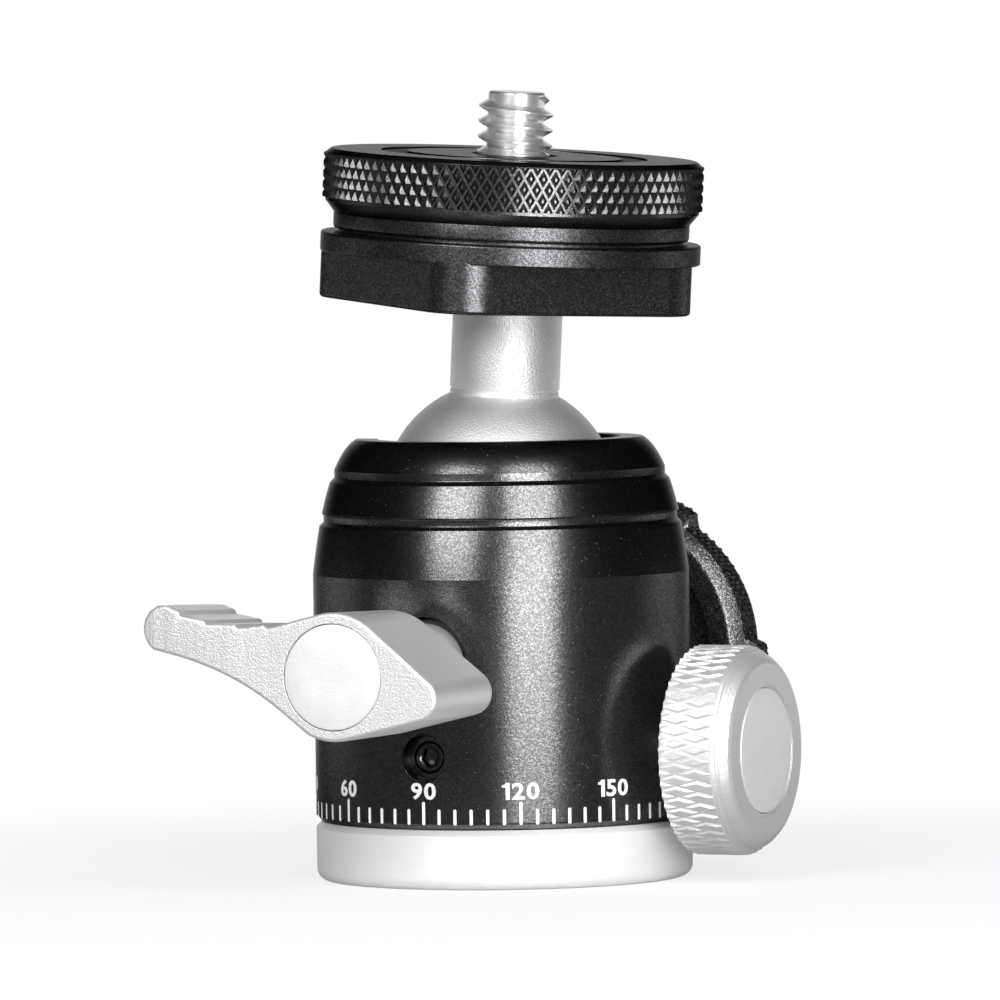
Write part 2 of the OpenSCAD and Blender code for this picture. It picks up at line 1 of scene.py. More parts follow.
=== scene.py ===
"""Looks of a compact tripod ball head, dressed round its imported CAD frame.

Shapes are drawn in millimetres about one of the head's own axes and become metres when they are
put in place. Directions are those of the frame: lever along -Y, pan knob along +X, up is +Z.
"""

import logging
import math
from collections.abc import Callable, Sequence
from dataclasses import dataclass, field
from enum import Enum

import bmesh
import bpy
from mathutils import Matrix, Vector, noise


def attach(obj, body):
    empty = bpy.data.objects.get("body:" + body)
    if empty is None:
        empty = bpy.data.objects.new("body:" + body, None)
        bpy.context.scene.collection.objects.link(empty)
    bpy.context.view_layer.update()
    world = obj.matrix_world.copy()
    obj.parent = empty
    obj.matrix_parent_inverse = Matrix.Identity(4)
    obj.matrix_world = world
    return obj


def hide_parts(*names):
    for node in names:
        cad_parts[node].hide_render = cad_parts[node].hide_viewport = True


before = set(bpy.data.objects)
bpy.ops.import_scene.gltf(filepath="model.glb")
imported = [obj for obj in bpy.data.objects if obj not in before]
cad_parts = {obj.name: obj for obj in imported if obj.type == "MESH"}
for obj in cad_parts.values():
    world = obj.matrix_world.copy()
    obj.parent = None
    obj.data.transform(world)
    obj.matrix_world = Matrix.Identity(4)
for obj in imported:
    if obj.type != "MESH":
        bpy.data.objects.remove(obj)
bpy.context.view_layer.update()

LOG = logging.getLogger("ball_head")
MM = 0.001
SIDES = 256
NEAR = 1e-5  # points closer than this are one
TINY = 1e-6  # lengths and radii below this count as none

FINE_NOISE = 1.7  # in grains
WIDE_NOISE = 14.0  # in grains
DIMPLE_SHARE = 0.6  # of the bump
# Glint specks and lighter facets are painted glints: a lighter base colour standing in for light caught by
# single facets of the blasted metal.
GLINT_SPECK_EDGE = (0.22, 0.42)  # in dimples
UNGLINTED_FACETS = 0.35  # share of them
GRAIN_TONE = (1.12, 0.002)  # how much lighter the lighter grain is

Colour = tuple[float, float, float]
Path = Sequence[Sequence[float]]
Shape = bmesh.types.BMesh


class Axis(Enum):
    """The axes that pieces are drawn about, each with the place of its origin in millimetres."""

    BARREL = (0.0, 0.0, 0.0)
    LEVER = (0.0, 0.0, 18.35)
    DRAG = (0.0, 0.0, 17.75)
    PAN = (0.0, 0.0, 10.8)
    STEM = (0.0, 0.0, 31.3)

    def matrix(self) -> Matrix:
        """Gives the place of the axis, from millimetres about it to metres in the frame."""
        turns = {
            Axis.BARREL: Matrix.Identity(4),
            Axis.LEVER: turn("X", 90),
            Axis.DRAG: turn("X", -90),
            Axis.PAN: turn("Y", 90),
            Axis.STEM: turn("Z", -7) @ turn("Y", 3.75) @ turn("Z", -28.5),
        }
        return Matrix.Scale(MM, 4) @ Matrix.Translation(self.value) @ turns[self]


def turn(axis: str, degrees: float) -> Matrix:
    """Gives a turn about one of the frame's axes."""
    return Matrix.Rotation(math.radians(degrees), 4, axis)


class Value:
    """A node's output that can be used in Python expressions."""

    def __init__(self, net: "Net", socket: bpy.types.NodeSocket) -> None:
        """Keeps the socket and the net that its sums are added to."""
        self.net = net
        self.socket = socket

    def sum(self, operation: str, *others: "Value | float") -> "Value":
        """Adds a Math node.

        Args:
            operation: Name of the Math node's operation.
            others: The further operands.

        Returns:
            The node's output.
        """
        return self.net.math(operation, self, *others)

    def __add__(self, other: "Value | float") -> "Value":
        """Adds."""
        return self.sum("ADD", other)

    def __sub__(self, other: "Value | float") -> "Value":
        """Subtracts."""
        return self.sum("SUBTRACT", other)

    def __rsub__(self, other: "Value | float") -> "Value":
        """Subtracts from a number."""
        return self.net.math("SUBTRACT", other, self)

    def __mul__(self, other: "Value | float") -> "Value":
        """Multiplies."""
        return self.sum("MULTIPLY", other)

    def __truediv__(self, other: "Value | float") -> "Value":
        """Divides."""
        return self.sum("DIVIDE", other)

    __radd__ = __add__
    __rmul__ = __mul__

    def ramp(self, low: float, high: float) -> "Value":
        """Gives a smooth step.

        Args:
            low: Where it starts to leave 0.
            high: Where it reaches 1.

        Returns:
            The step.
        """
        return self.net.out("ShaderNodeMapRange", "Result", {"interpolation_type": "SMOOTHSTEP"},
                            {"Value": self, "From Min": low, "From Max": high})


class Net:
    """Adds nodes to a shader or geometry tree."""

    def __init__(self, tree: bpy.types.NodeTree) -> None:
        """Keeps the tree."""
        self.tree = tree

    @classmethod
    def cleared(cls, owner: bpy.types.Material | bpy.types.World) -> "Net":
        """Gives the emptied tree of a new material or world."""
        owner.use_nodes = True
        owner.node_tree.nodes.clear()
        return cls(owner.node_tree)

    def node(self, kind: str, settings: dict | None = None, inputs: dict | None = None) -> bpy.types.Node:
        """Adds one node.

        Args:
            kind: The node's type.
            settings: Its own settings, made first.
            inputs: Values or links for its sockets, by name or number.

        Returns:
            The node.
        """
        made = self.tree.nodes.new(kind)
        for name, value in (settings or {}).items():
            setattr(made, name, value)
        for key, value in (inputs or {}).items():
            source = value.socket if isinstance(value, Value) else value
            if isinstance(source, bpy.types.NodeSocket):
                self.tree.links.new(source, made.inputs[key])
            else:
                made.inputs[key].default_value = source
        return made

    def out(self, kind: str, name: str | int = 0, settings: dict | None = None,
            inputs: dict | None = None) -> Value:
        """Adds a node and gives one of its outputs.

        Args:
            kind: The node's type.
            name: The output's name or number.
            settings: As for node.
            inputs: As for node.

        Returns:
            The output.
        """
        return Value(self, self.node(kind, settings, inputs).outputs[name])

    def math(self, operation: str, *operands: Value | float) -> Value:
        """Adds a Math node and gives its result."""
        return self.out("ShaderNodeMath", 0, {"operation": operation}, dict(enumerate(operands)))

    def vector(self, x: Value | float, y: Value | float, z: Value | float) -> Value:
        """Joins three numbers to a vector."""
        return self.out("ShaderNodeCombineXYZ", 0, None, {0: x, 1: y, 2: z})

    def joined(self, *parts: Value) -> Value:
        """Joins geometries."""
        made = self.node("GeometryNodeJoinGeometry")
        for part in parts:
            self.tree.links.new(part.socket, made.inputs[0])
        return Value(self, made.outputs[0])

    def blend(self, share: Value, first: Value | Colour, second: Value | Colour) -> Value:
        """Mixes two colours by a share from 0 to 1."""
        pair = [(*c, 1.0) if isinstance(c, tuple) else c for c in (first, second)]
        return self.out("ShaderNodeMix", 2, {"data_type": "RGBA"}, {0: share, 6: pair[0], 7: pair[1]})


@dataclass(frozen=True)
class Finish:
    """A surface finish with a fine grain. Lengths are in millimetres.

    Small dimples dent the surface and clouds vary its gloss. Glint specks are painted glints: the
    few dimples whose bottom is painted lighter, with a duller gloss. Painted glint is how much
    lighter the lightest facets are painted than the rest, standing in for glints of light. Edge is
    the metal's tint where it is seen at a flat angle.
    """

    name: str
    colour: Colour
    metallic: float
    roughness: float
    grain: float = 0.16
    depth: float = 0.010
    speck_colour: Colour = (0.9, 0.9, 0.9)
    speck_share: float = 0.0
    speck_dull: float = 0.28
    sparkle: float = 0.0
    facet: float = 0.085
    edge: float = 1.0
    cloud: float = 0.04
    stretch: Colour = (1.0, 1.0, 1.0)

    def material(self) -> bpy.types.Material:
        """Gives the finish's material, made at its first use."""
        found = bpy.data.materials.get("looks_" + self.name)
        if found:
            return found
        made = bpy.data.materials.new("looks_" + self.name)
        net = Net.cleared(made)
        place = net.out("ShaderNodeTexCoord", "Object")
        place = net.out("ShaderNodeMapping", 0, None, {"Vector": place, "Scale": self.stretch})
        fine = self.noise(net, place, FINE_NOISE * self.grain)
        wide = self.noise(net, place, WIDE_NOISE * self.grain)
        cells = net.node("ShaderNodeTexVoronoi", {"voronoi_dimensions": "3D", "feature": "F1"},
                         {"Vector": place, "Scale": 1 / (self.grain * MM)})
        dimple = Value(net, cells.outputs["Distance"])
        tone = net.blend((wide - 0.5) * 0.5 + fine * 0.5, self.colour, self.lighter())
        gloss = self.roughness + (wide - 0.5) * self.cloud
        # Painted glints: random facets get a lighter base colour.
        if self.sparkle > 0:
            facets = net.out("ShaderNodeTexVoronoi", "Color", {"voronoi_dimensions": "3D", "feature": "F1"},
                             {"Vector": place, "Scale": 1 / (self.facet * MM)})
            lot = net.out("ShaderNodeSeparateColor", 0, None, {0: facets})
            tone = net.blend(lot.ramp(UNGLINTED_FACETS, 1.0), tone, self.shining())
        # Painted glints: a few dimples get a lighter bottom and a duller gloss, standing in for facets that
        # catch the lamps.
        if self.speck_share > 0:
            lot = net.out("ShaderNodeSeparateColor", 0, None, {0: cells.outputs["Color"]})
            glint_speck = net.math("GREATER_THAN", lot, 1 - self.speck_share) * (1 - dimple.ramp(*GLINT_SPECK_EDGE))
            tone = net.blend(glint_speck, tone, self.speck_colour)
            gloss = gloss + glint_speck * self.speck_dull
        bump = net.out("ShaderNodeBump", 0, None, {
            "Strength": 1.0, "Distance": self.depth * MM, "Height": dimple * DIMPLE_SHARE + fine})
        surface = net.out("ShaderNodeBsdfPrincipled", 0, None, {
            "Base Color": tone, "Roughness": gloss, "Metallic": self.metallic,
            "Specular Tint": (self.edge,) * 3 + (1.0,), "Normal": bump})
        net.node("ShaderNodeOutputMaterial", None, {"Surface": surface})
        return made

    def lighter(self) -> Colour:
        """Gives the lighter tone of the grain."""
        share, extra = GRAIN_TONE
        return tuple(min(1.0, share * c + extra) for c in self.colour)

    def shining(self) -> Colour:
        """Gives the painted glint tone of the lightest facets."""
        return tuple(min(1.0, (1.0 + self.sparkle) * c) for c in self.colour)

    @staticmethod
    def noise(net: Net, place: Value, size: float) -> Value:
        """Adds a noise with features of the given size in millimetres."""
        return net.out("ShaderNodeTexNoise", "Fac", {"noise_dimensions": "3D"},
                       {"Vector": place, "Scale": 1 / (size * MM), "Detail": 1.0})


SILVER = Finish("silver_blasted", (0.92, 0.92, 0.925), 0.74, 0.42, depth=0.034, grain=0.11, cloud=0.05)
SILVER_SMOOTH = Finish("silver_smooth", (0.90, 0.90, 0.905), 0.40, 0.48, depth=0.005, grain=0.12)
SILVER_BALL = Finish("silver_ball", (0.87, 0.87, 0.875), 0.90, 0.50, depth=0.036, grain=0.11)
SILVER_STEM = Finish("silver_stem", (0.92, 0.92, 0.925), 0.66, 0.48, depth=0.022, grain=0.11)
SILVER_FACE = Finish("silver_face", (0.90, 0.90, 0.905), 0.55, 0.46, depth=0.008, grain=0.12)
BRIGHT = Finish("bright_steel", (0.86, 0.86, 0.86), 0.88, 0.30, depth=0.006, grain=0.12)
# The black finishes carry painted glints in their specks and lighter facets.
BLACK = Finish("black_blasted", (0.086, 0.086, 0.088), 1.0, 0.235, depth=0.004, grain=0.13,
               speck_share=0.010, speck_colour=(0.30, 0.30, 0.31), sparkle=1.25, edge=0.30, cloud=0.03)
# Painted shade: a darker copy of the black finish for the platform's block, so its faces read darker than
# the cap's in the same light.
BLACK_BLOCK_SHADED = Finish("black_block_shaded", (0.060, 0.060, 0.062), 1.0, 0.32, depth=0.008, grain=0.14,
                    speck_share=0.03, speck_colour=(0.26, 0.26, 0.27), sparkle=2.2, edge=0.30)
BLACK_COARSE = Finish("black_cast", (0.085, 0.085, 0.087), 1.0, 0.40, depth=0.026, grain=0.15,
                      speck_share=0.10, speck_colour=(0.45, 0.45, 0.45), sparkle=3.0, edge=0.30)
BLACK_TURNED = Finish("black_turned", (0.095, 0.095, 0.097), 1.0, 0.26, depth=0.004, grain=0.13,
                      speck_share=0.010, speck_colour=(0.30, 0.30, 0.30), sparkle=0.8, edge=0.10)
BLACK_KNURL = Finish("black_knurl", (0.092, 0.092, 0.094), 0.9, 0.50, depth=0.020, grain=0.13,
                     sparkle=1.4, edge=0.30)
BLACK_STEEL = Finish("black_steel", (0.10, 0.10, 0.102), 1.0, 0.22, depth=0.006, edge=0.4)
STEEL = Finish("machined_steel", (0.62, 0.62, 0.63), 0.95, 0.27, depth=0.004, grain=0.08,
               stretch=(1.0, 1.0, 6.0))
SPRING_STEEL = Finish("spring_steel", (0.34, 0.35, 0.38), 0.95, 0.33, depth=0.004, grain=0.12)
BRASS = Finish("bearing_brass", (0.66, 0.50, 0.22), 0.95, 0.34, depth=0.005, grain=0.12)
PAINT = Finish("scale_paint", (0.82, 0.82, 0.81), 0.0, 0.55, depth=0.004, grain=0.10)
NYLON = Finish("nylon", (0.035, 0.035, 0.037), 0.0, 0.5, depth=0.006, grain=0.3)
PALE_PLASTIC = Finish("pale_plastic", (0.70, 0.68, 0.60), 0.0, 0.45, depth=0.006, grain=0.35)
TAN_PLASTIC = Finish("tan_plastic", (0.58, 0.47, 0.33), 0.0, 0.5, depth=0.006, grain=0.35)
GREY_PLASTIC = Finish("grey_plastic", (0.16, 0.16, 0.17), 0.0, 0.5, depth=0.006, grain=0.3)
RUBBER = Finish("rubber", (0.022, 0.022, 0.022), 0.0, 0.72, depth=0.02, grain=0.25, cloud=0.1)

SLOT_FINISHES = {
    "base_silver": SILVER_SMOOTH, "insert_steel": STEEL, "washer_plastic": GREY_PLASTIC,
    "spring_steel": SPRING_STEEL, "housing_black": BLACK, "bearing_brass": BRASS,
    "seat_plastic": NYLON, "screw_black": BLACK_STEEL, "bush_plastic": NYLON, "stud_steel": STEEL,
    "knob_silver": SILVER, "cap_silver": SILVER_FACE, "lever_silver": SILVER,
    "cup_plastic": TAN_PLASTIC, "knob_black": BLACK_COARSE, "liner_plastic": PALE_PLASTIC,
    "ball_silver": SILVER_BALL, "head_black": BLACK, "screw_bright": BRIGHT, "disc_black": BLACK_TURNED,
    "pad_rubber": RUBBER,
}


def arc(x: float, y: float, r: float, start: float, end: float, steps: int) -> list[tuple]:
    """Gives points of an arc, with its angles in degrees."""
    angles = [math.radians(start + (end - start) * i / steps) for i in range(steps + 1)]
    return [(x + r * math.cos(a), y + r * math.sin(a)) for a in angles]


def bend(p: Path, steps: int) -> list[tuple]:
    """Gives points of a cubic curve through the first and last of its four points."""
    made = []
    for i in range(steps + 1):
        t = i / steps
        share = ((1 - t) ** 3, 3 * (1 - t) ** 2 * t, 3 * (1 - t) * t * t, t ** 3)
        made.append(tuple(sum(w * q[k] for w, q in zip(share, p)) for k in (0, 1)))
    return made


def soften(path: Path, radius: float, steps: int = 4) -> list[tuple]:
    """Rounds the corners of a closed path.

    Args:
        path: Its points. A third number is a point's own radius.
        radius: Radius of the other corners.
        steps: Pieces of each arc.

    Returns:
        The points of the rounded path.
    """
    made = []
    for i, point in enumerate(path):
        r = point[2] if len(point) > 2 else radius
        here = Vector(point[:2])
        back = Vector(path[i - 1][:2]) - here
        ahead = Vector(path[(i + 1) % len(path)][:2]) - here
        if r <= 0 or here.x < TINY or min(back.length, ahead.length) < TINY:
            made.append(tuple(here))
            continue
        bow = math.pi - back.angle(ahead)
        if bow < 0.05:
            made.append(tuple(here))
            continue
        cut = min(r * math.tan(bow / 2), 0.45 * min(back.length, ahead.length))
        r = cut / math.tan(bow / 2)
        start, end = here + back.normalized() * cut, here + ahead.normalized() * cut
        middle = (back.normalized() + ahead.normalized()).normalized() * math.hypot(cut, r)
        centre = here + middle
        for k in range(steps + 1):
            t = k / steps
            first, last = math.sin((1 - t) * bow), math.sin(t * bow)
            made.append(tuple(centre + ((start - centre) * first + (end - centre) * last) / math.sin(bow)))
    return made


def outward(shape: Shape) -> Shape:
    """Merges doubles and turns the faces of a closed shape outwards."""
    bmesh.ops.remove_doubles(shape, verts=shape.verts, dist=NEAR)
    bmesh.ops.recalc_face_normals(shape, faces=shape.faces)
    if shape.calc_volume(signed=True) < 0:
        bmesh.ops.reverse_faces(shape, faces=shape.faces)
    return shape


def turned(profile: Path, sides: int = SIDES, steps: int = 4, radius: float = 0.0) -> Shape:
    """Turns a closed profile of (radius, height) points about the axis.

    Args:
        profile: The points. Those on the axis become poles, and a third number rounds a corner.
        sides: Steps round the axis.
        steps: Pieces of each rounded corner.
        radius: Radius of the other corners.

    Returns:
        The closed shape.
    """
    shape = bmesh.new()
    circle = [(math.cos(math.tau * i / sides), math.sin(math.tau * i / sides)) for i in range(sides)]
    rings = []
    for r, z in soften(profile, radius, steps):
        spots = [(0.0, 0.0, z)] if r < TINY else [(r * c, r * s, z) for c, s in circle]
        rings.append([shape.verts.new(spot) for spot in spots])
    for low, high in zip(rings, rings[1:] + rings[:1]):
        if len(low) == 1 and len(high) == 1:
            continue
        for i in range(sides):
            j = (i + 1) % sides
            corners = (low[i % len(low)], low[j % len(low)], high[j % len(high)], high[i % len(high)])
            shape.faces.new(dict.fromkeys(corners))
    return outward(shape)


def rod(r: float, low: float, high: float, sides: int = 96, top: float | None = None) -> Shape:
    """Makes a plain round rod or cone as a cutter."""
    return turned([(0, low), (r, low), (r if top is None else top, high), (0, high)], sides)


def inset(outline: Path, depth: float) -> list[tuple]:
    """Moves a closed outline inwards, which runs anticlockwise."""
    made = []
    for i, point in enumerate(outline):
        here = Vector(point)
        back, ahead = here - Vector(outline[i - 1]), Vector(outline[(i + 1) % len(outline)]) - here
        first, last = (Vector((-d.y, d.x)).normalized() for d in (back, ahead))
        both = (first + last) / max(0.2, 1 + first.dot(last))
        made.append(tuple(here + both * depth))
    return made


def lofted(loops: Sequence[Sequence[tuple]]) -> Shape:
    """Joins closed loops of equal length to a shape with flat ends."""
    shape = bmesh.new()
    rings = [[shape.verts.new(point) for point in loop] for loop in loops]
    for low, high in zip(rings, rings[1:]):
        for i in range(len(low)):
            j = (i + 1) % len(low)
            shape.faces.new((low[i], low[j], high[j], high[i]))
    shape.faces.new(reversed(rings[0]))
    shape.faces.new(rings[-1])
    return outward(shape)


def slab(outline: Callable[[float], Path], low: float, high: float, edge: tuple[float, float],
         levels: int = 1) -> Shape:
    """Extrudes an outline between two heights, with both edges rounded.

    Args:
        outline: Gives the outline at a height.
        low: Lower height.
        high: Upper height.
        edge: Radii of the lower and the upper edge.
        levels: Steps between the edges.

    Returns:
        The closed shape.
    """
    steps = 5
    rows = []
    for k in range(steps + 1):
        a = math.pi / 2 * k / steps
        rows.append((low + edge[0] * (1 - math.cos(a)), edge[0] * (1 - math.sin(a))))
    for k in range(1, levels):
        rows.append((low + (high - low) * k / levels, 0.0))
    for k in range(steps + 1):
        a = math.pi / 2 * (1 - k / steps)
        rows.append((high - edge[1] * (1 - math.cos(a)), edge[1] * (1 - math.sin(a))))
    return lofted([[(x, y, z) for x, y in inset(outline(z), deep)] for z, deep in rows])


def evaluated(thing: bpy.types.Object) -> bpy.types.Mesh:
    """Gives the plain mesh of an object with its modifiers, and removes the object."""
    graph = bpy.context.evaluated_depsgraph_get()
    graph.update()
    made = bpy.data.meshes.new_from_object(thing.evaluated_get(graph), depsgraph=graph)
    bpy.data.objects.remove(thing)
    return made


def placed(name: str, data: bpy.types.ID) -> bpy.types.Object:
    """Adds an object with the given data to the scene."""
    thing = bpy.data.objects.new(name, data)
    bpy.context.scene.collection.objects.link(thing)
    return thing


def as_mesh(shape: Shape) -> bpy.types.Mesh:
    """Turns a shape into a mesh and frees it."""
    mesh = bpy.data.meshes.new("shape")
    shape.to_mesh(mesh)
    shape.free()
    return mesh


def merge(shape: Shape, other: Shape) -> None:
    """Adds another shape to a shape and frees it."""
    mesh = as_mesh(other)
    shape.from_mesh(mesh)
    bpy.data.meshes.remove(mesh)


def hold_in(shape: Shape, limit: Callable[[Vector], float]) -> None:
    """Draws in the points that lie further from the axis than a limit."""
    for v in shape.verts:
        r, most = math.hypot(v.co.x, v.co.y), limit(v.co)
        if r > most:
            v.co.x *= most / r
            v.co.y *= most / r


def moved(shape: Shape, matrix: Matrix) -> Shape:
    """Moves a shape."""
    bmesh.ops.transform(shape, matrix=matrix, verts=shape.verts)
    return shape


def carved(shape: Shape, cutters: Sequence[Shape]) -> Shape:
    """Takes cutters away from a shape.

    Args:
        shape: The shape.
        cutters: Closed shapes.

    Returns:
        What is left.
    """
    thing = placed("carved", as_mesh(shape))
    tools = [placed("cutter", as_mesh(cutter)) for cutter in cutters]
    for tool in tools:
        cut = thing.modifiers.new("cut", "BOOLEAN")
        cut.operation = "DIFFERENCE"
        cut.solver = "EXACT"
        cut.object = tool
    mesh = evaluated(thing)
    for tool in tools:
        bpy.data.objects.remove(tool)
    made = bmesh.new()
    made.from_mesh(mesh)
    bmesh.ops.dissolve_degenerate(made, edges=made.edges, dist=NEAR)
    return made


class PatternTree:
    """A Geometry Nodes tree with named sizes that draws what repeats."""

    def __init__(self, name: str, sizes: dict[str, float | int]) -> None:
        """Makes the tree.

        Args:
            name: The tree's name.
            sizes: Its inputs and their values.
        """
        self.group = bpy.data.node_groups.new(name, "GeometryNodeTree")
        self.net = Net(self.group)
        self.sizes = sizes
        self.group.interface.new_socket("Geometry", in_out="OUTPUT", socket_type="NodeSocketGeometry")
        for key, value in sizes.items():
            kind = "NodeSocketInt" if isinstance(value, int) else "NodeSocketFloat"
            self.group.interface.new_socket(key, in_out="INPUT", socket_type=kind)
        entry = self.net.node("NodeGroupInput")
        self.given = {key: Value(self.net, entry.outputs[key]) for key in sizes}

    def round_axis(self, angle: Value, reach: Value, height: Value, count: Value) -> tuple[Value, Value]:
        """Sets points round the axis.

        Args:
            angle: Angle of each point.
            reach: Its distance from the axis.
            height: Its height.
            count: Number of points.

        Returns:
            The points, and the turn that stands an instance upright on each.
        """
        net = self.net
        spot = net.vector(angle.sum("COSINE") * reach, angle.sum("SINE") * reach, height)
        points = net.out("GeometryNodePoints", 0, None, {"Count": count, "Position": spot})
        lay = net.vector(math.pi / 2, 0.0, angle + math.pi / 2)
        return points, net.out("FunctionNodeEulerToRotation", 0, None, {0: lay})

    def drawn(self, geometry: Value, finish: Finish) -> Shape:
        """Ends the tree, runs it once and gives the plain shape.

        Args:
            geometry: What the tree has drawn.
            finish: The finish that it sets.

        Returns:
            The shape.
        """
        real = self.net.out("GeometryNodeRealizeInstances", 0, None, {"Geometry": geometry})
        dressed = self.net.out("GeometryNodeSetMaterial", 0, None,
                               {"Geometry": real, "Material": finish.material()})
        self.net.node("NodeGroupOutput", None, {"Geometry": dressed})
        holder = placed(self.group.name, bpy.data.meshes.new("empty"))
        run = holder.modifiers.new("draw", "NODES")
        run.node_group = self.group
        for item in self.group.interface.items_tree:
            if item.in_out == "INPUT":
                run[item.identifier] = self.sizes[item.name]
        shape = bmesh.new()
        shape.from_mesh(evaluated(holder))
        return shape


@dataclass(frozen=True)
class Knurl:
    """A band of flat-topped diamonds round an axis, in staggered rows."""

    radius: float
    columns: int
    rows: int
    first: float
    pitch: float
    height: float
    fill: float
    tip: float
    low: float
    high: float
    sink: float = 0.06

    def drawn(self, finish: Finish) -> Shape:
        """Draws the band and trims it at its two ends.

        Args:
            finish: Finish of the diamonds.

        Returns:
            The closed diamonds.
        """
        tree = PatternTree("knurl", {
            "Radius": self.radius, "Columns": self.columns, "Rows": self.rows, "First": self.first,
            "Pitch": self.pitch, "Height": self.height, "Fill": self.fill, "Tip": self.tip,
            "Sink": self.sink})
        net, given = tree.net, tree.given
        index = net.out("GeometryNodeInputIndex")
        row = (index / given["Columns"] + 0.0001).sum("FLOOR")
        column = index - row * given["Columns"]
        stagger = row.sum("MODULO", 2.0) * 0.5
        angle = (column + stagger) * math.tau / given["Columns"]
        points, lay = tree.round_axis(angle, given["Radius"] - given["Sink"],
                                      given["First"] + row * given["Pitch"],
                                      given["Columns"] * given["Rows"])
        tooth = net.out("GeometryNodeMeshCone", 0, {"fill_type": "NGON"}, {
            "Vertices": 4, "Radius Top": given["Tip"], "Radius Bottom": 1.0, "Depth": 1.0})
        wide = given["Radius"] * given["Fill"] * math.pi / given["Columns"]
        size = net.vector(wide, given["Pitch"] * given["Fill"], given["Height"] + given["Sink"])
        teeth = net.out("GeometryNodeInstanceOnPoints", 0, None,
                        {"Points": points, "Instance": tooth, "Rotation": lay, "Scale": size})
        shape = tree.drawn(teeth, finish)
        for height, side in ((self.low, -1), (self.high, 1)):
            every = [*shape.verts, *shape.edges, *shape.faces]
            cut = bmesh.ops.bisect_plane(shape, geom=every, plane_co=(0, 0, height),
                                         plane_no=(0, 0, side), clear_outer=True)
            edges = [e for e in cut["geom_cut"] if isinstance(e, bmesh.types.BMEdge)]
            bmesh.ops.holes_fill(shape, edges=edges)
        return outward(shape)


@dataclass(frozen=True)
class Thread:
    """A right-handed screw thread, as one ridge round a core. Negative height cuts inwards."""

    radius: float
    height: float
    pitch: float
    turns: float
    start: float
    crest: float
    fade: float
    turned_by: float = 0.0
    sink: float = 0.08

    def drawn(self, finish: Finish) -> Shape:
        """Draws the ridge, which fades in and out at its ends.

        Args:
            finish: Finish of the ridge.

        Returns:
            The closed ridge.
        """
        tree = PatternTree("thread", {
            "Radius": self.radius, "Height": self.height, "Pitch": self.pitch, "Turns": self.turns,
            "Start": self.start, "Crest": self.crest, "Fade": self.fade,
            "Sink": math.copysign(self.sink, self.height), "Turned": math.radians(self.turned_by)})
        net, given = tree.net, tree.given
        coil = net.out("GeometryNodeCurveSpiral", 0, None, {
            "Resolution": 96, "Rotations": given["Turns"], "Start Radius": given["Radius"],
            "End Radius": given["Radius"], "Height": given["Turns"] * given["Pitch"]})
        coil = net.out("GeometryNodeSetCurveNormal", 0, {"mode": "Z_UP"}, {"Curve": coil})
        along = net.out("GeometryNodeSplineParameter", "Factor")
        ends = net.math("MINIMUM", along, 1 - along) / given["Fade"]
        full = ends.ramp(0.0, 1.0) * 0.98 + 0.02
        foot, top = given["Pitch"] * 0.44, given["Crest"] * 0.5
        sink, rise = given["Sink"], given["Height"] * -1.0
        profile = net.out("GeometryNodeCurvePrimitiveQuadrilateral", 0, {"mode": "POINTS"}, {
            "Point 1": net.vector(sink, foot * -1.0, 0.0),
            "Point 2": net.vector(rise, top * -1.0, 0.0),
            "Point 3": net.vector(rise, top, 0.0),
            "Point 4": net.vector(sink, foot, 0.0)})
        ridge = net.out("GeometryNodeCurveToMesh", 0, None, {
            "Curve": coil, "Profile Curve": profile, "Scale": full, "Fill Caps": True})
        ridge = net.out("GeometryNodeTransform", 0, None, {
            "Geometry": ridge, "Translation": net.vector(0.0, 0.0, given["Start"]),
            "Rotation": net.out("FunctionNodeEulerToRotation", 0, None,
                                {0: net.vector(0.0, 0.0, given["Turned"])})})
        return outward(tree.drawn(ridge, finish))


@dataclass
class Piece:
    """One named piece of the scene, gathered from shapes about one axis."""

    name: str
    axis: Axis
    body: str
    slot: str
    replaced: Sequence[str] = ()
    parts: list = field(default_factory=list)

    def add(self, shape: Shape, finish: Finish) -> "Piece":
        """Adds a shape with its finish."""
        self.parts.append((shape, finish))
        return self

    def close(self, crease: float = 28.0) -> bpy.types.Object:
        """Args:
            crease: Edges sharper than this stay sharp, in degrees.

        Returns:
            The piece's object.
        """
        finishes = list(dict.fromkeys(finish for _, finish in self.parts))
        whole = bmesh.new()
        for shape, finish in self.parts:
            for face in shape.faces:
                face.material_index = finishes.index(finish)
            merge(whole, shape)
        mesh = as_mesh(whole)
        mesh.name = self.name
        mesh.materials.clear()
        for finish in finishes:
            mesh.materials.append(finish.material())
        mesh.transform(self.axis.matrix())
        mesh.shade_smooth()
        mesh.set_sharp_from_angle(angle=math.radians(crease))
        rough = placed("rough", mesh)
        even = rough.modifiers.new("even", "WEIGHTED_NORMAL")
        even.keep_sharp = True
        done = placed(self.name, evaluated(rough))
        done.data.name = self.name
        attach(done, self.body)
        if self.replaced:
            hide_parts(*self.replaced)
        LOG.info("%s: %d faces on body %s", self.name, len(done.data.polygons), self.body)
        return done


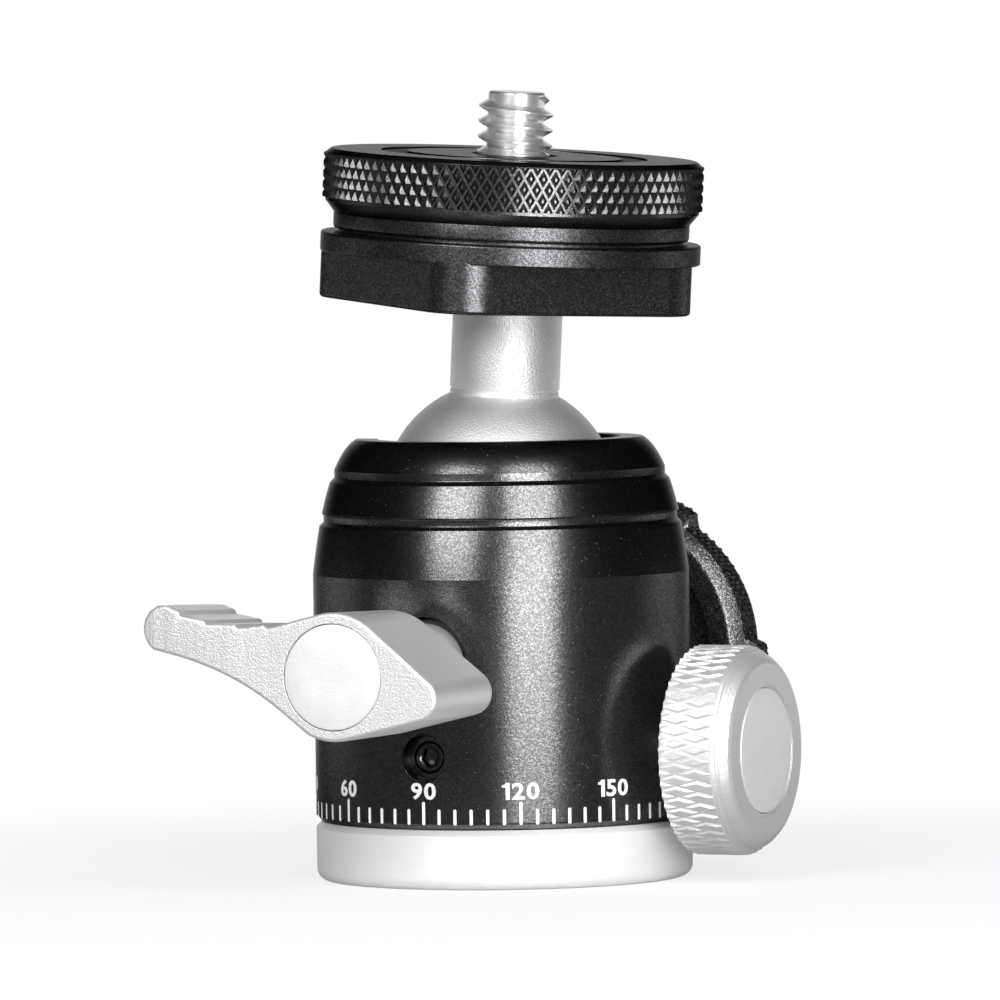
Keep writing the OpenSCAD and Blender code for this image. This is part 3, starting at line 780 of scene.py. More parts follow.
@dataclass
class PanBase:
    """The silver base with its bearing post and the threaded tripod socket."""

    radius: float = 15.55
    height: float = 4.9
    rounding: float = 1.0
    chamfer: float = 0.48
    post: float = 8.0
    post_top: float = 14.6
    insert: float = 5.57
    washer: tuple[float, float] = (9.05, 12.95)
    washer_deep: float = 0.6
    grooves: Path = ((7.3, 9.0, 12.6), (7.4, 13.57, 14.23))
    socket: float = 3.97
    socket_bore: float = 4.72
    socket_pitch: float = 1.5875
    socket_deep: float = 10.5

    def build(self) -> None:
        """Builds the base and the socket insert."""
        r, h, c, post = self.radius, self.height, self.chamfer, self.post
        inner = self.insert + 0.02
        near, far = self.washer
        grooves = [point for root, low, high in self.grooves for point in
                   ((post, low), (root, low), (root, high), (post, high))]
        body = turned([
            (inner, 0.35), (inner + 0.35, 0), (r - 0.02, 0, self.rounding), (r, h - c, 0.12),
            (r - c, h, 0.12), (far, h, 0.05), (far, h - self.washer_deep),
            (near, h - self.washer_deep), (near, h, 0.05), (post, h), *grooves,
            (post, self.post_top, 0.2), (0, self.post_top),
            (0, self.socket_deep), (inner, self.socket_deep)], steps=8)
        Piece("base_ring", Axis.BARREL, "base", "base_silver", ("base",)).add(
            body, SILVER_SMOOTH).close()
        bore = self.socket_bore
        sleeve = turned([
            (bore + 0.25, 0.1, 0.05), (self.insert, 0.1, 0.08), (self.insert, self.socket_deep),
            (bore, self.socket_deep), (bore, 0.4, 0.05)], 128)
        groove = Thread(bore, self.socket - bore, self.socket_pitch, turns=6.0, start=0.55, crest=0.2,
                        fade=0.03)
        Piece("socket_insert", Axis.BARREL, "base", "insert_steel", ("thread_insert",)).add(
            sleeve, STEEL).add(groove.drawn(STEEL), STEEL).close()


@dataclass
class Housing:
    """The black barrel with its drawn-in crown, ports, drop notch, set screw and scale."""

    radius: float = 15.55
    bore: float = 11.32
    bottom: float = 4.98
    chamfer: float = 0.48
    crown_z: float = 25.3
    rim_z: float = 36.4
    rim_r: float = 11.85
    mouth: float = 9.75
    lip_z: float = 35.3
    ball_z: float = 31.3
    notch: float = 4.8
    port: float = 3.95
    port_face: float = 13.05
    bush: float = 3.0
    bush_back: float = 11.97
    bush_deep: float = 1.05
    cut: tuple[float, float] = (5, 17)
    grub: float = 1.3
    grub_face: float = 14.3
    grub_tip: float = 11.35
    ledges: Path = ((14.61, 29.05, 30.2), (13.67, 32.7, 33.9))
    ledge_rise: float = 0.55
    digit_low: float = 7.42
    digit_gap: float = 0.17
    digit_height: float = 1.38
    digit_proud: float = 0.03
    digit_widen: float = 1.16

    def crown(self) -> list[tuple]:
        """Gives the crown's profile with its two turned ledges, from below upwards."""
        line = bend([(self.radius, self.crown_z), (15.40, 26.52), (14.514, 34.90),
                     (self.rim_r, self.rim_z)], 60)
        for root, low, high in self.ledges:
            foot, slope = low + self.ledge_rise, 1.2 * self.ledge_rise
            below = [p for p in line if p[1] < foot - (p[0] - root) * slope]
            above = [p for p in line if p[1] > high + 0.02]
            line = [*below, (root, foot, 0.10), (root, high, 0.06), *above]
        return line

    def build(self) -> None:
        """Builds the barrel, the scale, the set screw and the small rings in the ports."""
        r, c = self.radius, self.chamfer
        straight = [(r, self.bottom + c + (self.crown_z - self.bottom - c) * k / 12) for k in range(1, 12)]
        body = turned([
            (self.bore, self.bottom, 0), (r - c, self.bottom, 0.06), (r, self.bottom + c, 0.12),
            *straight, *self.crown()[:-1], (self.rim_r, self.rim_z, 0.35),
            (self.mouth + 0.35, self.rim_z, 0.1), (self.mouth, self.rim_z - 0.35, 0.1),
            (self.mouth, self.lip_z, 0), (self.bore, self.lip_z, 0)], steps=3, radius=0.05)
        Piece("barrel", Axis.BARREL, "housing", "housing_black", ("housing",)).add(
            carved(body, self.cutters()), BLACK).close(32)
        self.scale()
        self.set_screw()
        rim, face = self.port - 0.2, self.port_face
        for name, node, axis, hole in (("lever_bush", "lever_bushing", Axis.LEVER, 2.05),
                                       ("drag_bush", "drag_bushing", Axis.DRAG, 2.02)):
            flange = turned([
                (hole, self.bush_back), (self.bush, self.bush_back), (self.bush, face), (rim, face),
                (rim, face + self.bush_deep, 0.2), (hole, face + self.bush_deep, 0.1)], 96)
            Piece(name, axis, "housing", "bush_plastic", (node,)).add(flange, NYLON).close()

    def cutters(self) -> list[Shape]:
        """Gives what is cut out of the barrel: the ports, the screws' holes and the drop notch."""
        r, grub, half, cut = self.radius, self.grub, self.notch, self.cut
        holes = [(axis, tool) for axis in (Axis.LEVER, Axis.DRAG) for tool in (
            rod(self.bush + 0.02, *cut), rod(self.port, self.port_face, cut[1]),
            rod(self.port, r - 0.3, r + 0.3, 96, self.port + 0.6))]
        holes.append((Axis.PAN, rod(2.02, *cut)))
        made = [moved(tool, Matrix.Scale(1 / MM, 4) @ axis.matrix()) for axis, tool in holes]
        made += [moved(tool, self.screw_place()) for tool in (
            rod(grub + 0.05, *cut), rod(grub + 0.6, self.grub_face, cut[1]),
            rod(grub + 0.6, r - 0.1, r + 0.1, 64, grub + 0.8))]
        arch = [(half, 8.0), (-half, 8.0), *arc(0, 0, half, 180, 360, 48)]
        channel = lofted([[(-x, y, z) for y, z in arch] for x in (8.75, 17.0)])
        made.append(moved(channel, Matrix.Translation((0, 0, self.ball_z)) @ turn("Z", -7)))
        return made

    @staticmethod
    def screw_place() -> Matrix:
        """Gives the place of the set screw under the lever, still in millimetres."""
        return Matrix.Translation((0, 0, Axis.PAN.value[2])) @ turn("X", 90)

    def scale(self) -> None:
        """Builds the degree scale: a tick every 5 degrees, a long one with a number every 30."""
        tree = PatternTree("scale_ticks", {
            "Radius": self.radius, "Count": 72, "Width": 0.26, "Long": 1.9, "Short": 1.3,
            "Bottom": 5.35, "Proud": 0.02})
        net, given = tree.net, tree.given
        index = net.out("GeometryNodeInputIndex")
        angle = index * math.tau / given["Count"]
        long_tick = net.math("LESS_THAN", index.sum("MODULO", 6.0), 0.5)
        points, lay = tree.round_axis(angle, given["Radius"], given["Bottom"], given["Count"])
        ticks = net.joined(*(net.out("GeometryNodeInstanceOnPoints", 0, None, {
            "Points": points, "Selection": chosen, "Instance": self.tick(net, given, given[share]),
            "Rotation": lay}) for share, chosen in (("Short", 1 - long_tick), ("Long", long_tick))))
        marks = Piece("scale_marks", Axis.BARREL, "housing", "housing_black").add(
            outward(tree.drawn(ticks, PAINT)), PAINT)
        for degrees in range(0, 360, 30):
            marks.add(self.number(str(degrees), degrees + 180.0), PAINT)
        marks.close()

    @staticmethod
    def tick(net: Net, given: dict[str, Value], tall: Value) -> Value:
        """Draws a tick with round ends that stands on the origin.

        Args:
            net: The tree's net.
            given: The tree's sizes.
            tall: Height of the tick.

        Returns:
            The tick.
        """
        flat = net.out("GeometryNodeCurvePrimitiveQuadrilateral", 0, None,
                       {"Width": given["Width"], "Height": tall})
        flat = net.out("GeometryNodeFilletCurve", 0, {"mode": "POLY"}, {
            "Curve": flat, "Count": 4, "Radius": given["Width"] * 0.49, "Limit Radius": True})
        flat = net.out("GeometryNodeFillCurve", 0, {"mode": "NGONS"}, {"Curve": flat})
        block = net.out("GeometryNodeExtrudeMesh", 0, None, {
            "Mesh": flat, "Offset Scale": given["Proud"] * 2, "Individual": False})
        back = net.out("GeometryNodeFlipFaces", 0, None, {"Mesh": flat})
        both = net.out("GeometryNodeMergeByDistance", 0, None,
                       {"Geometry": net.joined(block, back), "Distance": 0.001})
        return net.out("GeometryNodeTransform", 0, None, {
            "Geometry": both, "Translation": net.vector(0.0, tall * 0.5, given["Proud"] * -1.0)})

    def number(self, text: str, at: float) -> Shape:
        """Makes one number and wraps it round the barrel.

        Args:
            text: The digits.
            at: Angle of its middle, in degrees.

        Returns:
            The wrapped digits.
        """
        gap = self.digit_gap
        glyphs = [self.digit(letter) for letter in text]
        widths = [max(v.co.x for v in glyph.verts) for glyph in glyphs]
        pen = -0.5 * (sum(widths) + gap * (len(text) - 1))
        shape = bmesh.new()
        for glyph, width in zip(glyphs, widths):
            for v in glyph.verts:
                angle = math.radians(at) + (pen + v.co.x) / self.radius
                r = self.radius + v.co.z
                v.co = (r * math.cos(angle), r * math.sin(angle), self.digit_low + v.co.y)
            merge(shape, glyph)
            pen += width + gap
        bmesh.ops.remove_doubles(shape, verts=shape.verts, dist=NEAR)
        bmesh.ops.recalc_face_normals(shape, faces=shape.faces)
        return shape

    def digit(self, letter: str) -> Shape:
        """Makes one bold digit with its lower left corner at the origin.

        Args:
            letter: The digit.

        Returns:
            The digit in millimetres. A one has a short flag.
        """
        height, proud = self.digit_height, self.digit_proud
        words = bpy.data.curves.new("digit", "FONT")
        words.body = letter
        words.size = 1.9
        words.offset = 0.05
        words.extrude = proud
        words.resolution_u = 3
        shape = bmesh.new()
        shape.from_mesh(evaluated(placed("digit", words)))
        left, bottom = (min(v.co[k] for v in shape.verts) for k in (0, 1))
        tall = max(v.co.y for v in shape.verts) - bottom
        for v in shape.verts:
            v.co.x = (v.co.x - left) * height / tall * self.digit_widen
            v.co.y = (v.co.y - bottom) * height / tall
        if letter == "1":
            flag = [(-0.30, 1.00), (0.02, 1.00), (0.02, 1.38), (-0.08, 1.24), (-0.30, 1.17)]
            merge(shape, lofted([[(x, y, z) for x, y in flag] for z in (-proud, proud)]))
            for v in shape.verts:
                v.co.x -= flag[0][0]
        return shape

    def set_screw(self) -> None:
        """Builds the hex set screw with a rounded rim round its socket."""
        end, tip = self.grub_face, self.grub_tip
        body = turned([(0, tip), (self.grub, tip, 0.1), (self.grub, end, 0.22), (0, end)], 64)
        key = 0.62 * self.grub
        bore = turned([(0, end - 1.1), (key, end - 0.85), (key, end + 1), (0, end + 1)], 6)
        lead = rod(key * 0.86, end - 0.14, end + 0.1, 48, key * 1.25)
        screw = moved(carved(body, [bore, lead]), self.screw_place() @ turn("Z", 12))
        Piece("hex_set_screw", Axis.BARREL, "housing", "screw_black", ("set_screw",)).add(
            screw, BLACK_STEEL).close()


@dataclass
class LockLever:
    """The silver lock lever: hub, nose and stepped arm, with a round cap let into its face."""

    back: float = 21.5
    front: float = 32.3
    hub: float = 5.2
    cap: float = 4.25
    groove: float = 0.08
    cap_deep: float = 1.2
    draft: float = 2.4
    arm_top: float = 5.655
    arm_bow: float = 0.0035
    arm_bow_from: float = -8.0
    slices: int = 44
    slice_from: float = -17.0
    slice_step: float = 0.27
    edge_wave: tuple[float, float] = (0.09, 1.9)
    face_wave: tuple[float, float] = (0.03, 2.3)
    boss: float = 3.4
    boss_end: float = 14.4
    nose: tuple[float, float, float] = (7.3, -1.7, 1.85)
    end: tuple[float, float, float] = (-15.1, 3.7, 1.97)

    def outline(self, height: float) -> list[tuple]:
        """Gives the lever's outline at a height along its axis, anticlockwise.

        Args:
            height: Height along the lever's axis.

        Returns:
            The outline, always with the same number of points.
        """
        drop = math.tan(math.radians(self.draft)) * (self.front - height)
        hub, nose, nose_r = self.hub, Vector(self.nose[:2]), self.nose[2]
        along = math.degrees(math.atan2(nose.y, nose.x))
        lean = math.degrees(math.acos((hub - nose_r) / nose.length))
        under = bend([arc(*self.end, 240, 240, 1)[0], (-8.3, 0.55), (-5.2, -2.5), (-2.35, -4.63)], 22)
        steps = soften([
            (-1.0, 5.1, 0), (-3.1, 4.60, 1.5), (-4.6, 4.2, 1.5), (-5.9, 3.95, 0.25), (-6.1, 4.15, 0.12),
            (-8.55, 3.95, 0.35), (-8.75, 4.2, 0.12), (-11.3, 4.2, 0.25), (-11.5, 4.5, 0.12),
            (-13.65, 4.9, 0.3), (-13.85, 5.25, 0.25), (-14.8, 5.62, 0.5), (-16, 5.66, 0)], 0.0, 3)[1:-1]
        top = [(x, y - drop) for x, y in steps]
        return [
            *arc(0, 0, hub, 245, 360 + along - lean, 14),
            *arc(*self.nose, along - lean, along + lean, 18),
            *[(x, y - 0.75 * drop * max(0.0, y) / hub) for x, y in arc(0, 0, hub, along + lean, 107, 26)],
            *top,
            *[(x, min(y, self.arm_top - drop)) for x, y in arc(*self.end, 98, 238, 20)],
            *under[1:-1],
        ]

    def build(self) -> None:
        """Builds the lever and its cap."""
        front, hole = self.front, self.cap + self.groove
        body = self.bowed(slab(self.outline, self.back, front, (0.25, 0.32), 3))
        pocket = rod(hole, front - self.cap_deep, front + 1, 160)
        lip = rod(hole - 0.01, front - 0.03, front + 0.04, 160, hole + 0.06)
        boss = turned([(0, self.boss_end), (self.boss, self.boss_end, 0.3),
                       (self.boss, self.back + 0.3), (0, self.back + 0.3)], 96)
        Piece("lock_lever", Axis.LEVER, "lever", "lever_silver", ("lever",)).add(
            carved(body, [pocket, lip]), SILVER).add(boss, SILVER).close()
        Piece("lever_face_cap", Axis.LEVER, "lever", "cap_silver", ("lever_cap",)).add(
            face_cap(self.cap, front, self.cap_deep), SILVER_FACE).close()

    def bowed(self, shape: Shape) -> Shape:
        """Bows the arm's front a little backwards towards its end and makes its edge uneven."""
        (rise, fine), (dent, coarse) = self.edge_wave, self.face_wave
        for k in range(self.slices):
            every = [*shape.verts, *shape.edges, *shape.faces]
            bmesh.ops.bisect_plane(shape, geom=every, plane_no=(1, 0, 0),
                                   plane_co=(self.slice_from + self.slice_step * k, 0, 0))
        for v in shape.verts:
            out = self.arm_bow_from - v.co.x
            if v.co.z < self.front - 0.4:
                continue
            if v.co.y > 2.5 and out > -3.5:
                v.co.y += rise * noise.noise(v.co * fine)
                v.co.z += dent * noise.noise(v.co * coarse + Vector((7.0, 3.0, 1.0))) - 0.02
            v.co.z -= self.arm_bow * max(0.0, out) ** 2
        return shape


def face_cap(radius: float, front: float, deep: float) -> Shape:
    """Makes a round cap with a rounded edge, let into a face."""
    return turned([(0, front - deep), (radius, front - deep), (radius, front, 0.14),
                   (0.5 * radius, front), (0, front)], 160)


@dataclass
class PanKnob:
    """The silver knob that locks the pan, with long knurled diamonds and a face cap."""

    radius: float = 8.6
    back: float = 17.75
    front: float = 23.75
    knurl_end: float = 22.31
    tooth: float = 0.15
    cap: float = 5.117
    groove: float = 0.06
    cap_deep: float = 1.2

    def build(self) -> None:
        """Builds the knob and its cap."""
        r, front = self.radius, self.front
        core = r - self.tooth
        hole = self.cap + self.groove
        body = turned([
            (1.99, self.back), (core - 0.15, self.back, 0.15), (core, self.back + 0.25, 0.1),
            (core, self.knurl_end, 0.05), (r - 0.28, self.knurl_end + 0.08, 0.08),
            (r - 0.36, 22.62, 0.1), (r - 0.52, 22.72, 0.1), (r - 0.6, 23.05, 0.3),
            (r - 1.1, 23.58, 0.4), (r - 1.45, front, 0.12), (hole + 0.24, front, 0.05),
            (hole + 0.02, front - 0.2), (hole, front - self.cap_deep),
            (1.99, front - self.cap_deep)])
        band = Knurl(core, columns=54, rows=3, first=17.36, pitch=1.85, height=self.tooth, fill=0.96,
                     tip=0.5, low=self.back + 0.12, high=self.knurl_end + 0.02)
        Piece("pan_lock_knob", Axis.PAN, "pan_knob", "knob_silver", ("pan_knob",)).add(
            body, SILVER).add(band.drawn(SILVER), SILVER).close()
        Piece("pan_face_cap", Axis.PAN, "pan_knob", "cap_silver", ("pan_knob_cap",)).add(
            face_cap(self.cap, front, self.cap_deep), SILVER_FACE).close()


@dataclass
class DragKnob:
    """The black knob that sets the drag: a dished face, a knurled rim and five raised lands."""

    rim: float = 12.4
    land: float = 13.5
    face: float = 20.95
    back: float = 25.75
    lands: int = 5
    half: float = 7.5
    phase: float = 6.3
    flank: float = 3.2
    tooth: float = 0.22
    knurl: tuple[float, float] = (22.28, 24.45)
    recess: float = 9.4
    recess_deep: float = 2.4
    hub: float = 4.2
    cap: float = 6.4
    cap_deep: float = 1.2
    boss: float = 3.4
    boss_end: float = 14.4

    def off_land(self, point: Vector) -> float:
        """Gives the angle from a point to the middle of the nearest land, in degrees."""
        pitch = 360 / self.lands
        return abs((math.degrees(math.atan2(point.y, point.x)) - self.phase + pitch / 2) % pitch - pitch / 2)

    def reach(self, point: Vector) -> float:
        """Gives the body's largest radius at a point, less the teeth where it is knurled."""
        rise = min(1.0, max(0.0, (self.half + self.flank - self.off_land(point)) / self.flank))
        low, high = self.knurl
        reach = self.rim + (self.land - self.rim) * rise * rise * (3 - 2 * rise)
        return reach - (self.tooth if low - 0.06 < point.z < high + 0.06 else 0.0)

    def teeth(self, radius: float, columns: int, low: float, high: float) -> Shape:
        """Draws a knurled band of the rim or its lands."""
        return Knurl(radius - self.tooth, columns, rows=5, first=self.knurl[0], pitch=0.56,
                     height=self.tooth, fill=0.95, tip=0.35, low=low, high=high).drawn(BLACK_KNURL)

    def build(self) -> None:
        """Builds the knob and its cap."""
        face, back, floor = self.face, self.back, self.face + self.recess_deep
        body = turned([
            (self.recess + 0.02, face, 0.25), (11.3, face, 0.5), (12.3, 21.9, 0.35), (12.08, 22.05, 0.05),
            (12.08, 22.22, 0.05), (self.land, 22.5, 0.3), (self.land, 24.3, 0.3), (11.75, back, 0.4),
            (self.cap + 0.2, back, 0.05), (self.cap + 0.2, back - self.cap_deep),
            (2.0, back - self.cap_deep), (2.0, self.boss_end), (self.boss, self.boss_end, 0.3),
            (self.boss, face + 0.6, 0.5), (self.hub, face + 0.6, 0.2), (self.hub, floor, 0.5),
            (self.recess - 0.3, floor, 0.8)], 360)
        hold_in(body, self.reach)
        low, high = self.knurl
        band = self.teeth(self.rim, 85, low, high)
        raised = self.teeth(self.land, 92, low + 0.4, high - 0.2)
        off = [f for f in raised.faces if self.off_land(f.calc_center_median()) > self.half - 0.5]
        bmesh.ops.delete(raised, geom=off, context="FACES")
        loose = [e for e in raised.edges if len(e.link_faces) == 1]
        bmesh.ops.holes_fill(raised, edges=loose)
        Piece("drag_lock_knob", Axis.DRAG, "drag_knob", "knob_black", ("drag_knob",)).add(
            body, BLACK_COARSE).add(band, BLACK_KNURL).add(outward(raised), BLACK_KNURL).close()
        Piece("drag_face_cap", Axis.DRAG, "drag_knob", "knob_black", ("drag_knob_cap",)).add(
            face_cap(self.cap, self.back, self.cap_deep), BLACK_TURNED).close()


@dataclass
class BallStem:
    """The ball and its stem."""

    ball: float = 9.75
    stem: float = 4.53
    top: float = 15.95

    def build(self) -> None:
        """Builds the ball with its stem, and a turned line where they meet."""
        seam = math.sqrt(self.ball ** 2 - self.stem ** 2)
        start = math.degrees(math.atan2(seam, self.stem))
        ball = arc(0, 0, self.ball, -90, start, 72)
        ball[0] = (0.0, -self.ball)
        ball[-1] = (self.stem + 0.02, seam - 0.02)
        low = [*ball, (self.stem - 0.3, seam), (0.0, seam)]
        high = [(0.0, seam - 0.5), (self.stem - 0.2, seam - 0.5), (self.stem, seam - 0.1), *soften([
            (self.stem, seam + 0.30), (self.stem - 0.1, seam + 0.38), (self.stem - 0.1, seam + 0.52),
            (self.stem, seam + 0.60), (self.stem, 12.0, 0), (self.stem, self.top - 0.12, 0.08),
            (self.stem - 0.12, self.top, 0.05), (3.9, self.top, 0), (3.9, 18.55, 0),
            (2.95, 18.55, 0), (2.95, 10.95, 0), (0, 10.95, 0)], 0.03, 3)]
        Piece("ball_and_stem", Axis.STEM, "ball", "ball_silver", ("ball_stem",)).add(
            turned(low, 192), SILVER_BALL).add(turned(high, 192), SILVER_STEM).close()


@dataclass
class Platform:
    """The camera platform: square block, ring and neck, camera screw and lock disc."""

    low: float = 15.95
    ring: float = 20.0
    neck: float = 21.65
    disc: float = 23.25
    top: float = 28.5
    radius: float = 15.7
    block: float = 24.603
    corner: float = 4.0
    shift: float = -0.33
    tooth: float = 0.27
    root: float = 2.338
    crest: float = 3.1
    tip: float = 33.7
    pitch: float = 1.27
    thread_turn: float = 25.5

    def build(self) -> None:
        """Builds the platform, the screw, the lock disc and its pad."""
        self.build_platform()
        self.build_screw()
        self.build_disc()

    def build_platform(self) -> None:
        """Builds the block with the ring and the neck."""
        half = self.block / 2 - self.corner
        x, y = self.shift * 0.5, self.shift * 0.87
        outline = [p for k in range(4) for p in arc(
            x + half * (1, -1, -1, 1)[k], y + half * (1, 1, -1, -1)[k], self.corner,
            90 * k, 90 * k + 90, 24)]
        block = slab(lambda _: outline, self.low, self.ring + 0.2, (0.3, 0.05))
        bore = rod(3.95, self.low - 1, 18.65, 96)
        r, n = self.radius, self.radius - 1.0
        cap = turned([
            (0, self.ring), (r, self.ring, 0.16), (r, self.neck, 0.2), (n - 0.45, self.neck, 0.05),
            (n - 0.45, self.neck + 0.3, 0.05), (n - 0.1, self.neck + 0.3, 0.1),
            (n, self.neck + 0.5, 0.15), (n, self.disc, 0.06), (13.7, self.disc),
            (13.7, self.disc - 0.3), (5.0, self.disc - 0.3), (5.0, self.disc),
            (2.92, self.disc), (2.92, self.ring + 0.5), (0, self.ring + 0.5)], steps=5)
        # The block wears the darker copy of the black finish, which is painted shade; the cap wears the
        # plain black.
        Piece("camera_platform", Axis.STEM, "platform", "head_black", ("platform",)).add(
            carved(block, [bore]), BLACK_BLOCK_SHADED).add(cap, BLACK).close()

    def build_screw(self) -> None:
        """Builds the camera screw with its helical thread."""
        core = turned([
            (0, 11.25), (2.9, 11.25, 0.1), (2.9, self.top + 0.1, 0.1), (self.root, self.top + 0.35, 0.1),
            (self.root, self.tip - 0.2, 0.05), (self.root - 0.10, self.tip, 0.08),
            (0.4, self.tip), (0, self.tip)], 128)
        ridge = Thread(self.root, self.crest - self.root, self.pitch, turns=4.05, start=self.top - 0.35,
                       crest=0.14, fade=0.05, turned_by=self.thread_turn)
        coil = ridge.drawn(BRIGHT)
        hold_in(coil, lambda point: self.root - 0.05 + 0.7 * max(0.0, self.tip - point.z))
        Piece("quarter_inch_screw", Axis.STEM, "platform", "screw_bright", ("camera_screw",)).add(
            core, BRIGHT).add(coil, BRIGHT).close()

    def build_disc(self) -> None:
        """Builds the knurled lock disc and the pad ring let into its top."""
        r, top, core = self.radius, self.top, self.radius - self.tooth
        body = turned([
            (3.15, self.disc + 0.01), (r - 1.0, self.disc + 0.01, 0.1), (core, self.disc + 0.95, 0.05),
            (core, top - 0.42, 0.05), (r - 0.12, top - 0.40, 0.08), (r - 0.6, top, 0.42),
            (11.02, top, 0.08), (11.02, top - 1.05), (8.88, top - 1.05), (8.88, top, 0.08),
            (3.6, top, 0.05), (3.15, top - 0.35)], steps=5)
        band = Knurl(core, columns=96, rows=5, first=self.disc + 1.3, pitch=0.89, height=self.tooth,
                     fill=0.92, tip=0.24, low=self.disc + 1.22, high=top - 0.43)
        Piece("knurled_lock_disc", Axis.STEM, "disc", "disc_black", ("lock_disc",)).add(
            body, BLACK_TURNED).add(band.drawn(BLACK_KNURL), BLACK_KNURL).close()
        pad = turned([(8.92, top - 1.05), (10.98, top - 1.05), (10.98, top - 0.15, 0.15),
                      (8.92, top - 0.15, 0.15)], 160)
        Piece("disc_grip_pad", Axis.STEM, "disc", "pad_rubber", ("disc_pad",)).add(pad, RUBBER).close()


def toward(azimuth: float, elevation: float) -> Vector:
    """Gives the direction from the head to a place round it, from its angles in degrees."""
    a, e = math.radians(azimuth), math.radians(elevation)
    return Vector((math.sin(a) * math.cos(e), -math.cos(a) * math.cos(e), math.sin(e)))


@dataclass(frozen=True)
class Lamp:
    """A soft rectangular lamp that looks at the head. Power is in watts, tilt in degrees."""

    name: str
    azimuth: float
    elevation: float
    away: float
    wide: float
    tall: float
    power: float
    tilt: float = 0.0
    aim: Colour = (0.0, 0.0, 25.0)

    def build(self) -> None:
        """Adds the lamp to the scene."""
        data = bpy.data.lights.new(self.name, "AREA")
        data.shape = "RECTANGLE"
        data.size, data.size_y = self.wide * MM, self.tall * MM
        data.energy = self.power
        thing = placed(self.name, data)
        thing.visible_camera = False
        back = toward(self.azimuth, self.elevation)
        facing = (-back).to_track_quat("-Z", "Y").to_matrix().to_4x4()
        thing.matrix_world = Matrix.Translation(
            (back * self.away + Vector(self.aim)) * MM) @ facing @ turn("Z", self.tilt)


LAMPS = (
    Lamp("strip_right", azimuth=46.5, elevation=28.0, away=640.0, wide=320.0, tall=450.0, power=2.70,
         tilt=-8.0),
    Lamp("strip_low", azimuth=42.5, elevation=1.5, away=260.0, wide=130.0, tall=64.0, power=0.24),
    Lamp("box_left", azimuth=-5.5, elevation=28.0, away=640.0, wide=300.0, tall=410.0, power=2.32),
)


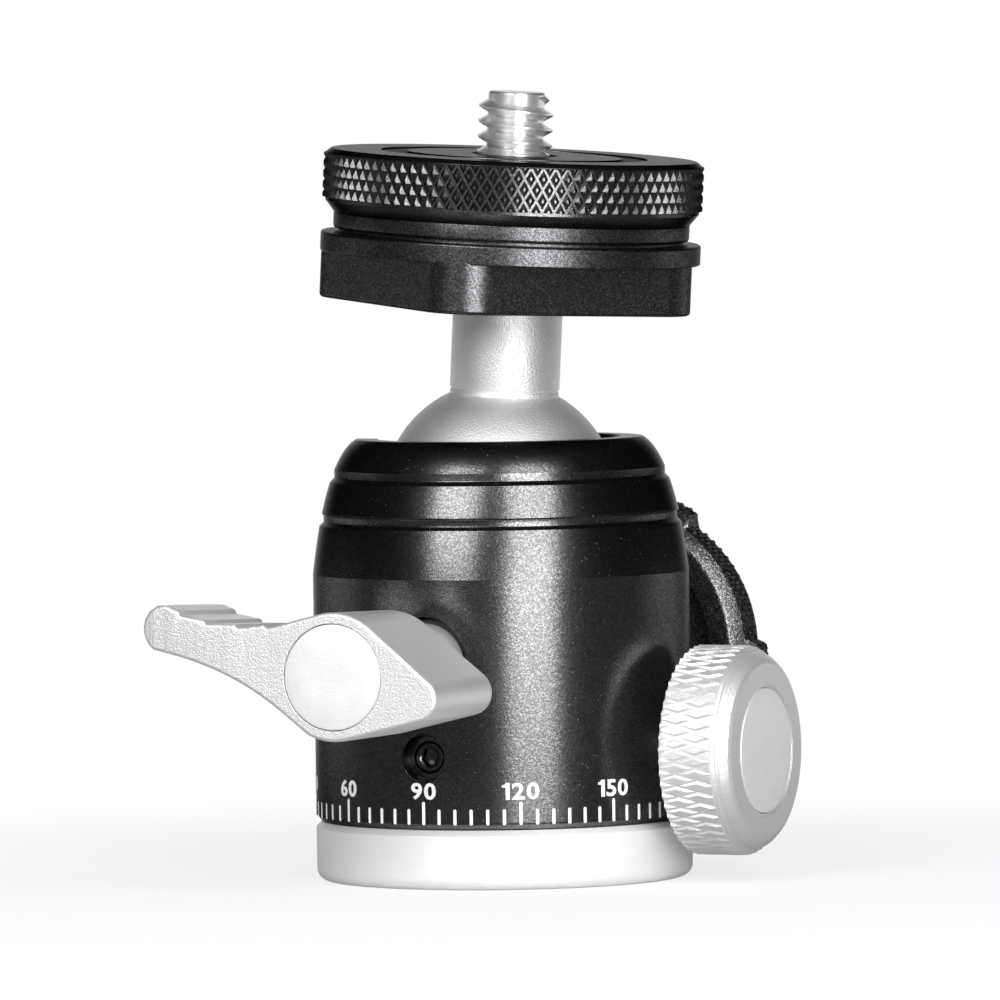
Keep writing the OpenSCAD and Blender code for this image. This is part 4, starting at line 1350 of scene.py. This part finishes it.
@dataclass
class Studio:
    """Camera, floor and soft light.

    Metal mirrors the white background behind the head, and a darker room in front of it. The
    floor's own sizes are in metres, and the pairs are where a smooth step starts and ends.
    """

    azimuth: float = 25.0
    elevation: float = 2.3
    roll: float = -0.8
    distance: float = 900.0
    pixels: float = 12.1
    picture: float = 1000.0
    aim: Colour = (0.0, 0.0, 31.2)
    plain: float = 0.22
    room_low: float = 0.15
    room_high: float = 0.025
    glow: float = 0.78
    card: float = 0.92
    floor_reach: float = 3.0
    floor_drop: float = 0.00002
    floor_fade: tuple[float, float] = (0.03, 0.12)
    floor_back: tuple[float, float] = (0.0, 0.25)
    sky_back: tuple[float, float] = (0.80, 0.97)
    horizon: tuple[float, float] = (-0.02, 0.12)

    def build(self) -> None:
        """Sets up the camera, the floor, the lamps and the world."""
        self.camera()
        self.floor()
        self.world()
        for lamp in LAMPS:
            lamp.build()
        bpy.context.scene.view_settings.view_transform = "Standard"

    def camera(self) -> None:
        """Makes the camera at the photograph's viewing angle."""
        data = bpy.data.cameras.new("camera")
        data.sensor_width = 36.0
        data.lens = self.pixels * self.distance * data.sensor_width / self.picture
        data.clip_start, data.clip_end = 0.05, 20.0
        back = toward(self.azimuth, self.elevation)
        level = toward(self.azimuth + 90, 0.0)
        over = back.cross(level)
        lean = math.radians(self.roll)
        right = math.cos(lean) * level + math.sin(lean) * over
        up = math.cos(lean) * over - math.sin(lean) * level
        thing = placed("camera", data)
        place = Matrix((right, up, back)).transposed().to_4x4()
        place.translation = (Vector(self.aim) + back * self.distance) * MM
        thing.matrix_world = place
        bpy.context.scene.camera = thing

    @staticmethod
    def rays(net: Net) -> tuple[Value, Value]:
        """Gives 1 for glossy rays, and 1 for rays from the camera or through glass."""
        path = net.node("ShaderNodeLightPath")
        gloss, camera, through = (Value(net, path.outputs[f"Is {kind} Ray"])
                                  for kind in ("Glossy", "Camera", "Transmission"))
        return gloss, net.math("MAXIMUM", camera, through)

    def behind(self, net: Net, place: Value) -> Value:
        """Gives how far a place or a direction lies behind the head."""
        return net.out("ShaderNodeVectorMath", "Value", {"operation": "DOT_PRODUCT"},
                       {0: place, 1: tuple(-toward(self.azimuth, 0.0))})

    def floor(self) -> None:
        """Makes the pale floor, which fades into the white background away from the head."""
        shape = bmesh.new()
        bmesh.ops.create_circle(shape, cap_ends=True, segments=128, radius=self.floor_reach)
        mesh = as_mesh(moved(shape, Matrix.Translation((0, 0, -self.floor_drop))))
        mesh.name = "floor"
        thing = placed("floor", mesh)
        made = bpy.data.materials.new("floor_white")
        net = Net.cleared(made)
        place = net.out("ShaderNodeTexCoord", "Object")
        away = net.out("ShaderNodeVectorMath", "Value", {"operation": "LENGTH"}, {0: place})
        gloss, seen = self.rays(net)
        behind = self.behind(net, place).ramp(*self.floor_back)
        shown = 1.0 + gloss * (behind - 1.0) * (1.0 - self.room_low)
        share = (self.glow + away.ramp(*self.floor_fade) * (1.0 - self.glow)) * seen
        share = net.math("MAXIMUM", gloss, share)
        card = net.out("ShaderNodeBsdfDiffuse", 0, None, {"Color": (self.card,) * 3 + (1.0,)})
        glow = net.out("ShaderNodeEmission", 0, None, {"Strength": shown})
        mixed = net.out("ShaderNodeMixShader", 0, None, {0: share, 1: card, 2: glow})
        net.node("ShaderNodeOutputMaterial", None, {"Surface": mixed})
        mesh.materials.append(made)

    def world(self) -> None:
        """Makes the white background, and plainer light from it."""
        made = bpy.data.worlds.new("studio")
        net = Net.cleared(made)
        way = net.out("ShaderNodeTexCoord", "Generated")
        height = net.out("ShaderNodeSeparateXYZ", "Z", None, {0: way})
        room = self.room_low + height.ramp(*self.horizon) * (self.room_high - self.room_low)
        shown = room + self.behind(net, way).ramp(*self.sky_back) * (1.0 - room)
        gloss, seen = self.rays(net)
        strength = self.plain + gloss * (shown - self.plain)
        strength = strength + seen * (1.0 - strength)
        sky = net.out("ShaderNodeBackground", 0, None,
                      {"Color": (1.0, 1.0, 1.0, 1.0), "Strength": strength})
        net.node("ShaderNodeOutputWorld", None, {"Surface": sky})
        made.cycles.sampling_method = "NONE"
        bpy.context.scene.world = made


def dress_carried_nodes() -> None:
    """Gives every CAD node that stays its finish, by the record's slot names."""
    for name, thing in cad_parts.items():
        for place in thing.material_slots:
            slot = place.material.name.split(".")[0] if place.material else ""
            if slot in SLOT_FINISHES:
                place.material = SLOT_FINISHES[slot].material()
            else:
                LOG.warning("%s: no finish for slot %r", name, slot)


def main() -> None:
    """Builds the head from its base upwards, then the studio."""
    logging.basicConfig(level=logging.INFO, format="%(name)s %(message)s")
    dress_carried_nodes()
    for assembly in (PanBase(), Housing(), LockLever(), PanKnob(), DragKnob(), BallStem(), Platform()):
        LOG.info("building %s", type(assembly).__name__)
        assembly.build()
    Studio().build()


if __name__ == "__main__":
    main()
